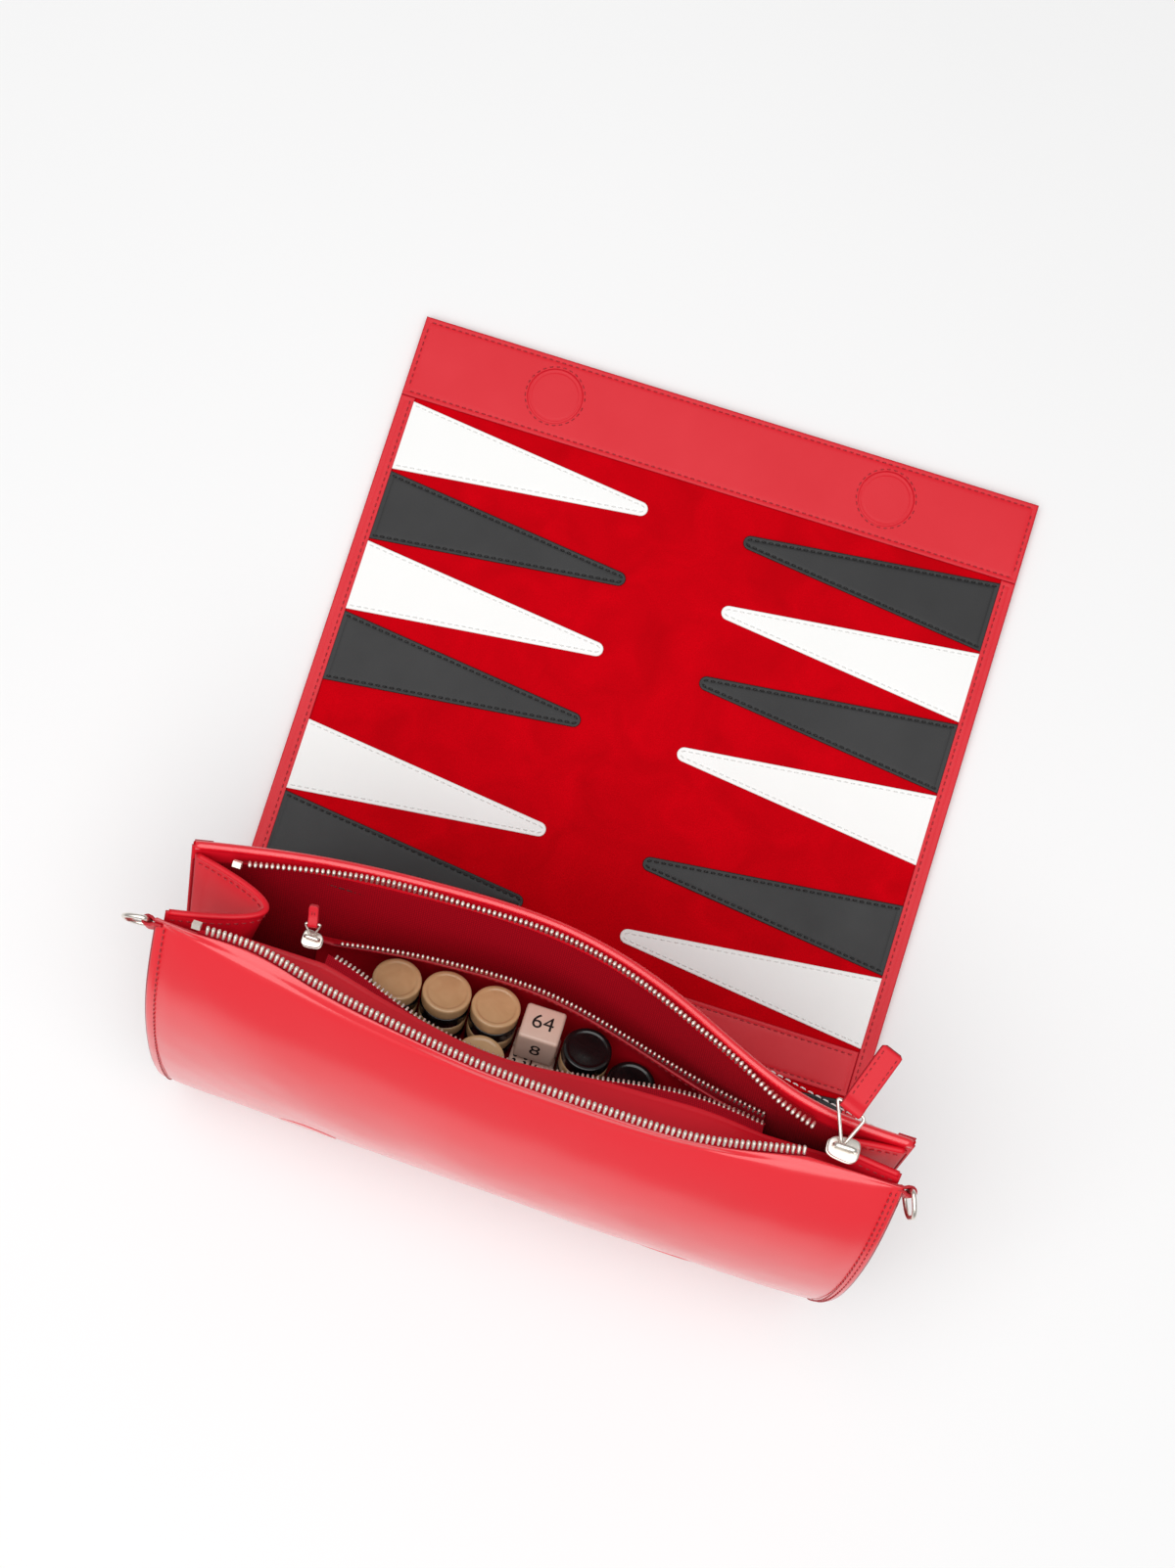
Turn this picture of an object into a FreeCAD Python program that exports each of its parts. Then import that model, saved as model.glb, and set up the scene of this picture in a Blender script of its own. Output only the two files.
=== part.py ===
"""Roll-up backgammon case: a leather playing board that folds in three round a zipped pouch of game pieces.

Frame: +X across the board, +Y towards the flap's free end, +Z up. The origin is the centre of the
underside of the back panel, the face that lies on the table. All sizes are in millimetres.

The board runs from the flap (+Y) over the top fold, along the back panel, over the bottom fold and up
the rear wall of the pouch, which leans back over the board with its mouth open.
"""
import FreeCAD
import Part
import math
import os

V = FreeCAD.Vector

# ---- Driving dimensions: the board ----
BOARD_WIDTH = 300.0
POINT_PITCH = 34.6           # one backgammon point along the board
POINT_BASE = 33.6
POINT_LENGTH = 120.0
POINT_TIP_RADIUS = 3.4
END_BAND = 39.0              # plain leather band at the flap's free end
BAND_GAP = 1.2               # suede left between the band and the first point
FOLD = 18.4                  # supple stretch between two panels
BAR = 21.2                   # centre bar
BAR_GAP = 1.0
EDGE_STRIP = 7.0             # leather strip along both sides of the playing face
POUCH_PANEL_MARGIN = 3.6
ROOT_GAP = 0.8                           # the rear wall starts this far above the bottom fold
FLAP_POINTS = 4
BACK_POINTS = 2              # on each side of the bar
LEATHER = 1.2
STIFFENER = 1.1
SUEDE = 0.8
POINT_THICKNESS = 0.9
LAYER_GAP = 0.1              # glue line between two curved layers
MAGNET_RADIUS = 9.0
MAGNET_SPREAD = 81.0         # each magnet from the middle of the board
MAGNET_FROM_END = 18.5

HALF_WIDTH = BOARD_WIDTH / 2
BACK_HALF = BACK_POINTS * POINT_PITCH + BAR_GAP + BAR / 2
FLAP_START = BACK_HALF + FOLD
FLAP_LENGTH = END_BAND + BAND_GAP + FLAP_POINTS * POINT_PITCH
FLAP_END = FLAP_START + FLAP_LENGTH
STIFFENER_Z = LEATHER
SUEDE_Z = STIFFENER_Z + STIFFENER
FACE_Z = SUEDE_Z + SUEDE     # the playing face
STRIP_INNER = HALF_WIDTH - EDGE_STRIP

# ---- Driving dimensions: the pouch, as it stands with its mouth open ----
FOLD_TURN = math.radians(138)            # how far the bottom fold turns the board back over itself
FOLD_RADIUS = FOLD / FOLD_TURN           # at the middle of its thickness
FOLD_MID_Z = FACE_Z / 2
REAR_BASE_Y = -BACK_HALF - FOLD_RADIUS * math.sin(FOLD_TURN)
REAR_BASE_Z = FOLD_MID_Z + FOLD_RADIUS * (1 - math.cos(FOLD_TURN))
REAR_HEIGHT = FLAP_POINTS * POINT_PITCH + POUCH_PANEL_MARGIN
# Angle of the rear wall above the board, in degrees, every 50 mm from the left side to the right.
LEANS = [46.0, 40.6, 38.0, 38.4, 46.0, 56.5, 58.8]
LEAN_SPACING = 50.0
LINING = 0.6
PADDING = 1.5
SEAM = 1.0                               # sheets stop this far inside the board's sides
MOUTH_DEPTH_LEFT = 33.0                  # how far the side gusset folds in at the mouth
MOUTH_DEPTH_RIGHT = 26.0

# Outside of the front wall from the bottom seam to the lip, as (Y, Z), at both sides and the middle.
FRONT_LEFT = [(-88.5, 16.5), (-90.0, 30.0), (-86.5, 46.0), (-70.0, 83.0), (-46.0, 115.0), (-14.5, 137.0)]
FRONT_MIDDLE = [(-88.5, 16.5), (-93.0, 31.0), (-92.0, 46.0), (-84.0, 84.0), (-65.0, 118.0), (-36.0, 145.5)]
FRONT_RIGHT = [(-88.5, 16.5), (-94.5, 31.0), (-94.0, 46.0), (-83.0, 84.0), (-58.0, 120.0), (-24.5, 141.5)]
FRONT_STEPS = [0.0, 0.1, 0.205, 0.47, 0.735, 1.0]    # share of the wall's height at each of those points
FRONT_MAGNET_STEP = 0.17
LEATHER_TOP = 0.952                      # share of the height where the front leather's edge is

# The zip tapes' edges, as (X, Y, Z), from the open left end to the slider.
FRONT_ROW = [(-133.5, -16.9, 138.7), (-110, -17.3, 138.9), (-85, -22.6, 141.9), (-52, -28.1, 144.6),
             (-20, -32.2, 146.5), (11.5, -34.0, 147.2), (42, -34.6, 147.0), (72, -33.8, 145.6),
             (95, -30.0, 142.6), (112, -26.8, 139.6)]
REAR_ROW = [(-130.7, 10.4, 115.8), (-103, 16.4, 109.8), (-72, 20.7, 104.9), (-40, 21.6, 103.8),
            (-7, 21.6, 103.8), (27.4, 15.7, 110.6), (63, 2.8, 122.8), (80, -4.4, 128.2),
            (96, -12.2, 133.6), (112, -17.4, 136.8)]
INNER_FRONT_ROW = [(-86, -12.4, 118.4), (-75, -15.0, 119.0), (-59, -20.6, 119.4), (-32, -28.4, 119.4),
                   (0, -30.6, 119.0), (41.8, -24.8, 118.6), (70.7, -22.0, 119.0), (96, -24.2, 119.6)]
INNER_REAR_ROW = [(-86, -8.2, 114.6), (-63, -4.3, 110.4), (-32, -1.6, 107.6), (0.8, -1.9, 107.2),
                  (35.3, -8.6, 109.6), (69.7, -16.6, 114.2), (96, -20.8, 117.4)]
OUTER_TAPE_FROM, OUTER_TAPE_TO = -133.0, 111.6
INNER_TAPE_FROM, INNER_TAPE_TO = -85.6, 95.6
TOOTH_PITCH = 2.2
TOOTH = (1.3, 2.7, 2.1)                  # along the row, across it, and thick
INNER_TOOTH_PITCH = 2.0
INNER_TOOTH = (1.1, 1.5, 1.5)
TOOTH_FROM_TAPE = 0.15
TAPE = 0.6
STOP_SIZE = (3.4, 2.4, 2.4)
INNER_TAPE_WIDTH = 5.0
TAPE_SEAM = 0.935                        # share of the front wall's height where its tape is sewn
TAPE_BEHIND = 1.0
REAR_SEAM = 5.0
REAR_TAPE_IN = 0.7
TAPE_EDGE = 0.45                         # the tape ends this far short of the row's line
FACING = 0.9                             # leather band from the front lip down to the inner zip

# Sliders and their pullers. A slider is two plates joined at the nose, with a bridge that holds the puller.
SLIDER_AT = V(122.5, -21.8, 146.2)
SLIDER_SIZE = (12.0, 8.4, 5.2)           # along the row, across it, high
SLIDER_ROOM = 2.8                        # between the two plates, for the teeth
INNER_SLIDER_AT = V(-92.5, -9.0, 122.6)
INNER_SLIDER_SIZE = (8.0, 6.4, 4.0)
INNER_SLIDER_ROOM = 2.0
BRIDGE = 1.2                             # square bar of a slider's bridge
BRIDGE_HEIGHT = 4.4
WIRE = 1.3                               # round wire of the ring and the link
LINK_LENGTH = 15.0
LINK_BAR = 13.0
TAB = (9.0, 28.0, 2.4)                   # width, length, thickness of the folded leather
INNER_RING_RADIUS = 3.2
INNER_WIRE = 1.0
INNER_TAB = (4.0, 9.0, 2.0)              # the bar of the ring runs through its end
D_RING_WIRE = 1.9
D_RING_WIDTH = 12.5                      # inside, along its straight bar
D_RING_DEPTH = 8.5
RING_OUT = 3.0                           # its bar stands this far outside the front wall's side
LOOP_WIDTH = 9.0

# ---- Driving dimensions: the game pieces ----
CHECKER_RADIUS = 10.0
CHECKER_THICKNESS = 6.2
CHECKER_RIM = 0.7
CHECKER_STEP = 6.4                       # along a stack
STACK_UP = V(0, 0.60, 0.80)              # the stacks stand this way in the leaning pouch
STACK_ACROSS = V(0, -0.80, 0.60)
STACK_TOP = V(0, -14.5, 95.0)            # centre of the top checker in the rear row
# Each stack: its X, how far towards the front, how far down, and its checkers from the top, L light or D dark.
STACKS = [(-58.8, 2.5, 0, "LDLD"), (-38.2, 1.0, 0, "LDLD"), (-17.6, 0.7, 0, "LDLD"), (22.4, 6.6, 0.5, "DLDL"),
          (43.0, 12.0, 6.0, "DLD"), (63.6, 20.3, 6.5, "DLD"), (-50.0, 21.2, 6.5, "LDL"),
          (-17.6, 21.2, 6.5, "LDL"), (26.0, 26.9, 13.0, "DL")]
CUBE = 16.5
CUBE_AT = V(2.4, -19.0, 94.0)
DIE = 9.0
DICE = [(-2.4, -0.6), (7.2, -0.6), (-2.4, 9.0), (7.2, 9.0)]      # X, and how far towards the front
DICE_DROP = 18.8
POCKET_FLOOR = 43.0                      # height of the inner pocket's floor, along the stacks
POCKET_GAP = 3.6                         # from the rear wall's middle layer to the pocket
POCKET_WALL = 0.8
POCKET_SIDES = (-96.0, 97.0)
POCKET_KNEE = 20.0                       # its rear wall leaves the rear of the pouch this far up


def box(x0, x1, y0, y1, z0, z1):
    return Part.makeBox(x1 - x0, y1 - y0, z1 - z0, V(x0, y0, z0))


def group(solids):
    return Part.makeCompound(solids)


def blend3(x, left, middle, right):
    """The value at x of the parabola through three values at the left side, the middle and the right side."""
    s = x / HALF_WIDTH
    return left * s * (s - 1) / 2 + middle * (1 - s * s) + right * s * (s + 1) / 2


def stations(x0, x1, count):
    return [x0 + (x1 - x0) * i / (count - 1) for i in range(count)]


def spline(points, steps=None):
    curve = Part.BSplineCurve()
    if steps is None:
        curve.interpolate(points)
    else:
        curve.interpolate(Points=points, Parameters=steps)
    return curve


def quad_loft(rings, ruled=False):
    """A solid through a row of four-cornered sections."""
    wires = [Part.makePolygon(ring + [ring[0]]) for ring in rings]
    return Part.makeLoft(wires, True, ruled)


# ---- The flat board: flap and back panel ----

def point_face(side, y_middle, z):
    """One backgammon point as a flat face: a triangle with a round tip, its base on the edge strip."""
    base_x = side * STRIP_INNER
    centre_x = base_x - side * (POINT_LENGTH - POINT_TIP_RADIUS)
    run = POINT_LENGTH - POINT_TIP_RADIUS
    half = POINT_BASE / 2
    # the slanted side touches the tip's circle where the radius is square to it
    turn = math.atan2(half, run) - math.asin(POINT_TIP_RADIUS / math.hypot(run, half))
    touch_x = centre_x - side * POINT_TIP_RADIUS * math.sin(turn)
    touch_y = POINT_TIP_RADIUS * math.cos(turn)
    a = V(base_x, y_middle + half, z)
    b = V(touch_x, y_middle + touch_y, z)
    tip = V(centre_x - side * POINT_TIP_RADIUS, y_middle, z)
    c = V(touch_x, y_middle - touch_y, z)
    d = V(base_x, y_middle - half, z)
    edges = [Part.makeLine(a, b), Part.Arc(b, tip, c).toShape(), Part.makeLine(c, d), Part.makeLine(d, a)]
    return Part.Face(Part.Wire(edges))


def flat_points(middles, dark, first_left_dark):
    """The light or the dark points of a flat panel. middles run from the flap's end, and colours alternate."""
    solids = []
    for i, y in enumerate(middles):
        for side in (-1, 1):
            is_dark = (i % 2 == 1) == (side < 0)
            if first_left_dark:
                is_dark = not is_dark
            if is_dark == dark:
                solids.append(point_face(side, y, FACE_Z).extrude(V(0, 0, POINT_THICKNESS)))
    return group(solids)


def flap_middles():
    start = FLAP_END - END_BAND - BAND_GAP
    return [start - (i + 0.5) * POINT_PITCH for i in range(FLAP_POINTS)]


def back_middles():
    upper = [BACK_HALF - (i + 0.5) * POINT_PITCH for i in range(BACK_POINTS)]
    lower = [-BAR / 2 - BAR_GAP - (i + 0.5) * POINT_PITCH for i in range(BACK_POINTS)]
    return upper + lower


def side_strips(y0, y1):
    return group([
        box(-HALF_WIDTH, -STRIP_INNER, y0, y1, FACE_Z, FACE_Z + POINT_THICKNESS),
        box(STRIP_INNER, HALF_WIDTH, y0, y1, FACE_Z, FACE_Z + POINT_THICKNESS),
    ])


def disc(x, y, z, radius, thickness):
    return Part.makeCylinder(radius, thickness, V(x, y, z))


def flap_parts():
    x0, x1 = -HALF_WIDTH, HALF_WIDTH
    magnet_y = FLAP_END - MAGNET_FROM_END
    band_start = FLAP_END - END_BAND
    magnets = [disc(s * MAGNET_SPREAD, magnet_y, STIFFENER_Z, MAGNET_RADIUS, STIFFENER) for s in (-1, 1)]
    stiffener = box(x0 + 2, x1 - 2, FLAP_START, FLAP_END - 2, STIFFENER_Z, SUEDE_Z)
    for s in (-1, 1):
        stiffener = stiffener.cut(disc(s * MAGNET_SPREAD, magnet_y, STIFFENER_Z - 1, MAGNET_RADIUS + 0.3, 5))
    return {
        "flap_outer_leather": box(x0, x1, FLAP_START, FLAP_END, 0, LEATHER),
        "flap_stiffener": stiffener,
        "flap_magnets": group(magnets),
        "flap_suede": box(x0, x1, FLAP_START, FLAP_END, SUEDE_Z, FACE_Z),
        "flap_end_band": box(x0, x1, band_start, FLAP_END, FACE_Z, FACE_Z + POINT_THICKNESS),
        "flap_light_points": flat_points(flap_middles(), False, False),
        "flap_dark_points": flat_points(flap_middles(), True, False),
        "flap_edge_strips": side_strips(FLAP_START, band_start),
    }


def back_parts():
    x0, x1 = -HALF_WIDTH, HALF_WIDTH
    return {
        "back_outer_leather": box(x0, x1, -BACK_HALF, BACK_HALF, 0, LEATHER),
        "back_stiffener": box(x0 + 2, x1 - 2, -BACK_HALF, BACK_HALF, STIFFENER_Z, SUEDE_Z),
        "back_suede": box(x0, x1, -BACK_HALF, BACK_HALF, SUEDE_Z, FACE_Z),
        "centre_bar": box(-STRIP_INNER, STRIP_INNER, -BAR / 2, BAR / 2, FACE_Z, FACE_Z + POINT_THICKNESS),
        "back_light_points": flat_points(back_middles(), False, False),
        "back_dark_points": flat_points(back_middles(), True, False),
        "back_edge_strips": side_strips(-BACK_HALF, BACK_HALF),
    }


def top_fold_parts():
    """The supple stretch between flap and back panel, flat here. It bends when the flap closes."""
    x0, x1 = -HALF_WIDTH, HALF_WIDTH
    return {
        "top_fold_leather": box(x0, x1, BACK_HALF, FLAP_START, 0, LEATHER),
        "top_fold_suede": box(x0, x1, BACK_HALF, FLAP_START, SUEDE_Z, FACE_Z),
    }


def fold_layer(inner, outer):
    """A layer of the bottom fold, from radius inner to radius outer, turned through the fold's angle."""
    y, z = -BACK_HALF, FOLD_MID_Z + FOLD_RADIUS
    profile = Part.makePolygon([
        V(-HALF_WIDTH, y, z - inner), V(-HALF_WIDTH, y, z - outer), V(HALF_WIDTH, y, z - outer),
        V(HALF_WIDTH, y, z - inner), V(-HALF_WIDTH, y, z - inner)])
    return Part.Face(profile).revolve(V(0, y, z), V(-1, 0, 0), math.degrees(FOLD_TURN))


def bottom_fold_parts():
    outside = FOLD_RADIUS + FOLD_MID_Z
    inside = FOLD_RADIUS - (FACE_Z - FOLD_MID_Z)
    return {
        "bottom_fold_leather": fold_layer(outside - LEATHER, outside),
        "bottom_fold_suede": fold_layer(inside, inside + SUEDE),
    }


# ---- The rear wall of the pouch: the third panel of the board, twisted by the open mouth ----

LEAN_AT = [(i - (len(LEANS) - 1) / 2) * LEAN_SPACING for i in range(len(LEANS))]
LEAN_CURVE = spline([V(x, angle, 0) for x, angle in zip(LEAN_AT, LEANS)], LEAN_AT)


def lean(x):
    return math.radians(LEAN_CURVE.value(x).y)


def rear_at(x, up, inward):
    """A point on the rear wall: up along it from the bottom fold, and inward from its middle layer."""
    a = lean(x)
    y = REAR_BASE_Y + up * math.cos(a) - inward * math.sin(a)
    z = REAR_BASE_Z + up * math.sin(a) + inward * math.cos(a)
    return V(x, y, z)


def rear_sheet(x0, x1, up0, up1, in0, in1):
    rings = [[rear_at(x, up0, in0), rear_at(x, up1, in0), rear_at(x, up1, in1), rear_at(x, up0, in1)]
             for x in stations(x0, x1, 9)]
    return quad_loft(rings)


def rear_point_solid(side, up_middle, sheet):
    """One point on the rear wall: the part of a curved layer inside the point's outline."""
    face = point_face(side, 0, 0)
    a = lean(side * HALF_WIDTH / 2)
    along = FreeCAD.Placement(V(0, REAR_BASE_Y, REAR_BASE_Z), FreeCAD.Rotation(V(1, 0, 0), math.degrees(a)))
    outline = face.copy()
    outline.translate(V(0, up_middle, -60))
    prism = outline.extrude(V(0, 0, 120))
    prism.Placement = along
    return sheet.common(prism).Solids[0]


def rear_parts():
    side = HALF_WIDTH
    leather_in = FACE_Z / 2
    leather = rear_sheet(-side, side, ROOT_GAP, REAR_HEIGHT, leather_in - LEATHER, leather_in)
    suede = rear_sheet(-side, side, ROOT_GAP, REAR_HEIGHT, -leather_in, leather_in - LEATHER - LAYER_GAP)
    outer = -leather_in - LAYER_GAP
    points_sheet = rear_sheet(-STRIP_INNER, STRIP_INNER, ROOT_GAP, REAR_HEIGHT - 1.0, outer - POINT_THICKNESS, outer)
    light, dark = [], []
    for i in range(FLAP_POINTS):
        up = (i + 0.5) * POINT_PITCH + 0.8
        for s in (-1, 1):
            solid = rear_point_solid(s, up, points_sheet)
            (dark if (i % 2 == 1) == (s < 0) else light).append(solid)
    strips = [rear_sheet(-side, -STRIP_INNER - 0.2, ROOT_GAP, REAR_HEIGHT, outer - POINT_THICKNESS, outer),
              rear_sheet(STRIP_INNER + 0.2, side, ROOT_GAP, REAR_HEIGHT, outer - POINT_THICKNESS, outer)]
    lining_in = leather_in + LAYER_GAP
    return {
        "pouch_rear_leather": leather,
        "pouch_rear_suede": suede,
        "pouch_light_points": group(light),
        "pouch_dark_points": group(dark),
        "pouch_edge_strips": group(strips),
        "pouch_rear_lining": rear_sheet(-side + SEAM, side - SEAM, 4.0, REAR_HEIGHT - 7.0,
                                        lining_in, lining_in + LINING),
    }


# ---- The front wall of the pouch ----

def front_curve(x):
    points = []
    for left, middle, right in zip(FRONT_LEFT, FRONT_MIDDLE, FRONT_RIGHT):
        y = blend3(x, left[0], middle[0], right[0])
        z = blend3(x, left[1], middle[1], right[1])
        points.append(V(x, y, z))
    return spline(points, FRONT_STEPS)


def front_at(curve, step, depth):
    """A point at a share of the front wall's height, and depth inside its outer face."""
    tangent = curve.tangent(step)[0]
    inward = V(0, tangent.z, -tangent.y).normalize()
    return curve.value(step) + inward * depth


def front_sheet(x0, x1, step0, step1, in0, in1, count=7, samples=15):
    wires = []
    for x in stations(x0, x1, count):
        curve = front_curve(x)
        steps = stations(step0, step1, samples)
        outer = [front_at(curve, s, in0) for s in steps]
        inner = [front_at(curve, s, in1) for s in reversed(steps)]
        edges = [spline(outer).toShape(), Part.makeLine(outer[-1], inner[0]),
                 spline(inner).toShape(), Part.makeLine(inner[-1], outer[0])]
        wires.append(Part.Wire(edges))
    return Part.makeLoft(wires, True, False)


def front_magnet_cutter(side, radius):
    """A cylinder square to the front wall, where the flap's magnet meets it."""
    x = side * MAGNET_SPREAD
    curve = front_curve(x)
    centre = front_at(curve, FRONT_MAGNET_STEP, -4)
    inward = (front_at(curve, FRONT_MAGNET_STEP, 0) - centre).normalize()
    return Part.makeCylinder(radius, 12, centre, inward)


FRONT_GAP = 0.25                         # glue line in the front wall, where the layers curve most
PADDING_IN = LEATHER + FRONT_GAP
LINING_IN = PADDING_IN + PADDING + FRONT_GAP


def front_parts():
    x0, x1 = -HALF_WIDTH, HALF_WIDTH
    padding = front_sheet(x0 + SEAM, x1 - SEAM, 0.03, 0.92, PADDING_IN, PADDING_IN + PADDING)
    magnets = [padding.common(front_magnet_cutter(s, MAGNET_RADIUS)).Solids[0] for s in (-1, 1)]
    for s in (-1, 1):
        padding = padding.cut(front_magnet_cutter(s, MAGNET_RADIUS + 0.3))
    return {
        "pouch_front_leather": front_sheet(x0, x1, 0.0, LEATHER_TOP, 0, LEATHER),
        "pouch_front_padding": padding.Solids[0],
        "pouch_front_magnets": group(magnets),
        "pouch_front_lining": front_sheet(x0 + SEAM, x1 - SEAM, 0.05, 0.92, LINING_IN, LINING_IN + LINING),
    }


def gusset(side, mouth_depth):
    """A side wall folded inward in a V, from the bottom of the pouch to its mouth."""
    x = side * (HALF_WIDTH - SEAM - 1.0)
    curve = front_curve(x)
    rings = []
    for i in range(7):
        share = i / 6
        front = front_at(curve, 0.06 + 0.93 * share, LINING_IN + LINING + 0.5)
        rear = rear_at(x, 6.0 + (REAR_HEIGHT - 9.0) * share, FACE_Z / 2 + LINING + 0.6)
        fold = (front + rear) * 0.5 - V(side * (2.0 + mouth_depth * share), 0, 0)
        thick = V(-side * LEATHER, 0, 0)
        rings.append([front, fold, rear, rear + thick, fold + thick, front + thick])
    return quad_loft(rings, ruled=True)


def gusset_parts():
    return {
        "left_gusset": gusset(-1, MOUTH_DEPTH_LEFT),
        "right_gusset": gusset(1, MOUTH_DEPTH_RIGHT),
    }


# ---- Zips ----

def row_curve(points):
    return spline([V(*p) for p in points])


def at_x(curve, x):
    """The point of a row's curve at that X."""
    first, last = curve.FirstParameter, curve.LastParameter
    for _ in range(40):
        middle = (first + last) / 2
        if curve.value(middle).x < x:
            first = middle
        else:
            last = middle
    return curve.value((first + last) / 2)


def front_anchor(x):
    """Where the outer zip's front tape is sewn: inside the front wall, just under its lip."""
    return front_at(front_curve(x), TAPE_SEAM, LEATHER + TAPE_BEHIND)


def rear_anchor(x):
    """Where the outer zip's rear tape is sewn: on the rear wall's inner side, below its top edge."""
    return rear_at(x, REAR_HEIGHT - REAR_SEAM, FACE_Z / 2 + REAR_TAPE_IN)


# ---- The inner pocket, with its own zip, that holds the game pieces ----

def pocket_rear_at(x, share, depth):
    """A point on the pocket's rear wall, from its floor (share 0) up to its zip tape (share 1)."""
    low = rear_at(x, 0, POCKET_GAP)
    climb = rear_at(x, 1, POCKET_GAP) - low
    start = (POCKET_FLOOR - low.dot(STACK_UP)) / climb.dot(STACK_UP)
    floor = low + climb * start
    knee = low + climb * (start + POCKET_KNEE) + STACK_ACROSS
    row = at_x(row_curve(INNER_REAR_ROW), min(max(x, INNER_TAPE_FROM), INNER_TAPE_TO))
    top = V(x, row.y, row.z) + (knee - V(x, row.y, row.z)).normalize() * INNER_TAPE_WIDTH
    curve = spline([floor, knee, top], [0.0, 0.5, 1.0])
    return curve.value(share) + STACK_ACROSS * depth


def pocket_rear_wall(x0, x1):
    rings = []
    for x in stations(x0, x1, 9):
        shares = [i / 6 for i in range(7)]
        rings.append([pocket_rear_at(x, s, 0) for s in shares] +
                     [pocket_rear_at(x, s, POCKET_WALL) for s in reversed(shares)])
    return quad_loft(rings, ruled=True)


def pocket_floor_rings(x0, x1):
    """The floor, square to the stacks, from the pocket's rear wall to the front wall's lining."""
    rings = []
    for x in stations(x0, x1, 7):
        start = pocket_rear_at(x, 0, POCKET_WALL + 0.2)
        curve = front_curve(x)
        reach = 5.0
        while reach < 90:
            at = start + STACK_ACROSS * (reach + 1)
            step = curve.parameter(at)
            if (at - front_at(curve, step, POCKET_FRONT_IN + 1.4)).dot(V(0, -1, 0)) > 0:
                break
            reach += 1
        end = start + STACK_ACROSS * reach
        up = STACK_UP * POCKET_WALL
        rings.append([start, end, end + up, start + up])
    return rings


POCKET_FRONT_IN = LINING_IN + LINING + 0.4
POCKET_FRONT_FROM = 0.50
LIP = 0.93


def inner_front_anchor(x):
    """Where the facing leaves the front wall's lining, just under the lip."""
    return front_at(front_curve(x), LIP, POCKET_FRONT_IN)


def inner_rear_anchor(x):
    return pocket_rear_at(x, 1.0, POCKET_WALL / 2)


def band(row, anchor, x0, x1, from_row, to_anchor, thickness, count=9):
    """A thin band between an anchor line and a row, kept these distances from each."""
    rings = []
    for x in stations(x0, x1, count):
        edge = at_x(row, x)
        root = anchor(x)
        across = (edge - root).normalize()
        up = V(1, 0, 0).cross(across).normalize() * (thickness / 2)
        near = root + across * to_anchor
        far = edge - across * from_row
        rings.append([near - up, far - up, far + up, near + up])
    return quad_loft(rings)


def pocket_parts():
    x0, x1 = POCKET_SIDES
    front_row = row_curve(INNER_FRONT_ROW)
    return {
        "pocket_rear_wall": pocket_rear_wall(x0, x1),
        "pocket_floor": quad_loft(pocket_floor_rings(x0 + 2, x1 - 2)),
        "pocket_front_wall": front_sheet(x0, x1, POCKET_FRONT_FROM, LIP - 0.02, POCKET_FRONT_IN,
                                         POCKET_FRONT_IN + POCKET_WALL),
        "front_facing": band(front_row, inner_front_anchor, INNER_TAPE_FROM, INNER_TAPE_TO,
                             INNER_TAPE_WIDTH, 1.0, FACING),
    }


# ---- Zips ----

def teeth(row, anchor, pitch, size):
    """Separate metal teeth, a pitch apart along a row, standing past the tape's edge."""
    length, across_size, thick = size
    count = int(row.length() / pitch)
    solids = []
    for i in range(2, count):
        at = row.value(row.parameterAtDistance(i * pitch))
        along = row.tangent(row.parameter(at))[0]
        across = (at - anchor(at.x)).normalize()
        across = (across - along * across.dot(along)).normalize()
        up = along.cross(across)
        tooth = Part.makeBox(length, across_size, thick, V(-length / 2, TOOTH_FROM_TAPE, -thick / 2))
        turn = FreeCAD.Matrix(along.x, across.x, up.x, at.x, along.y, across.y, up.y, at.y,
                              along.z, across.z, up.z, at.z, 0, 0, 0, 1)
        solids.append(tooth.transformGeometry(turn))
    return group(solids)


def stop(row, anchor, x):
    """A small metal clip at the open end of a row."""
    length, across_size, thick = STOP_SIZE
    at = at_x(row, x)
    across = (at - anchor(x)).normalize()
    up = V(1, 0, 0).cross(across).normalize() * (thick / 2)
    rings = []
    for end in (x - length / 2, x + length / 2):
        near = V(end, at.y, at.z) + across * TOOTH_FROM_TAPE
        far = near + across * across_size
        rings.append([near - up, far - up, far + up, near + up])
    return quad_loft(rings)


def zip_parts():
    front, rear = row_curve(FRONT_ROW), row_curve(REAR_ROW)
    inner_front, inner_rear = row_curve(INNER_FRONT_ROW), row_curve(INNER_REAR_ROW)
    stops = [stop(front, front_anchor, FRONT_ROW[0][0]), stop(rear, rear_anchor, REAR_ROW[0][0])]
    x0, x1 = OUTER_TAPE_FROM, OUTER_TAPE_TO
    i0, i1 = INNER_TAPE_FROM, INNER_TAPE_TO
    return {
        "outer_zip_front_tape": band(front, front_anchor, x0, x1, TAPE_EDGE, 0.4, TAPE, 17),
        "outer_zip_rear_tape": band(rear, rear_anchor, x0 + 0.8, x1, TAPE_EDGE, 0.4, TAPE, 17),
        "outer_zip_front_teeth": teeth(front, front_anchor, TOOTH_PITCH, TOOTH),
        "outer_zip_rear_teeth": teeth(rear, rear_anchor, TOOTH_PITCH, TOOTH),
        "outer_zip_top_stops": group(stops),
        "inner_zip_front_tape": inner_front_tape(inner_front, i0, i1),
        "inner_zip_rear_tape": band(inner_rear, inner_rear_anchor, i0, i1, 0, 0.3, TAPE),
        "inner_zip_front_teeth": teeth(inner_front, inner_front_anchor, INNER_TOOTH_PITCH, INNER_TOOTH),
        "inner_zip_rear_teeth": teeth(inner_rear, inner_rear_anchor, INNER_TOOTH_PITCH, INNER_TOOTH),
    }


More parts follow.
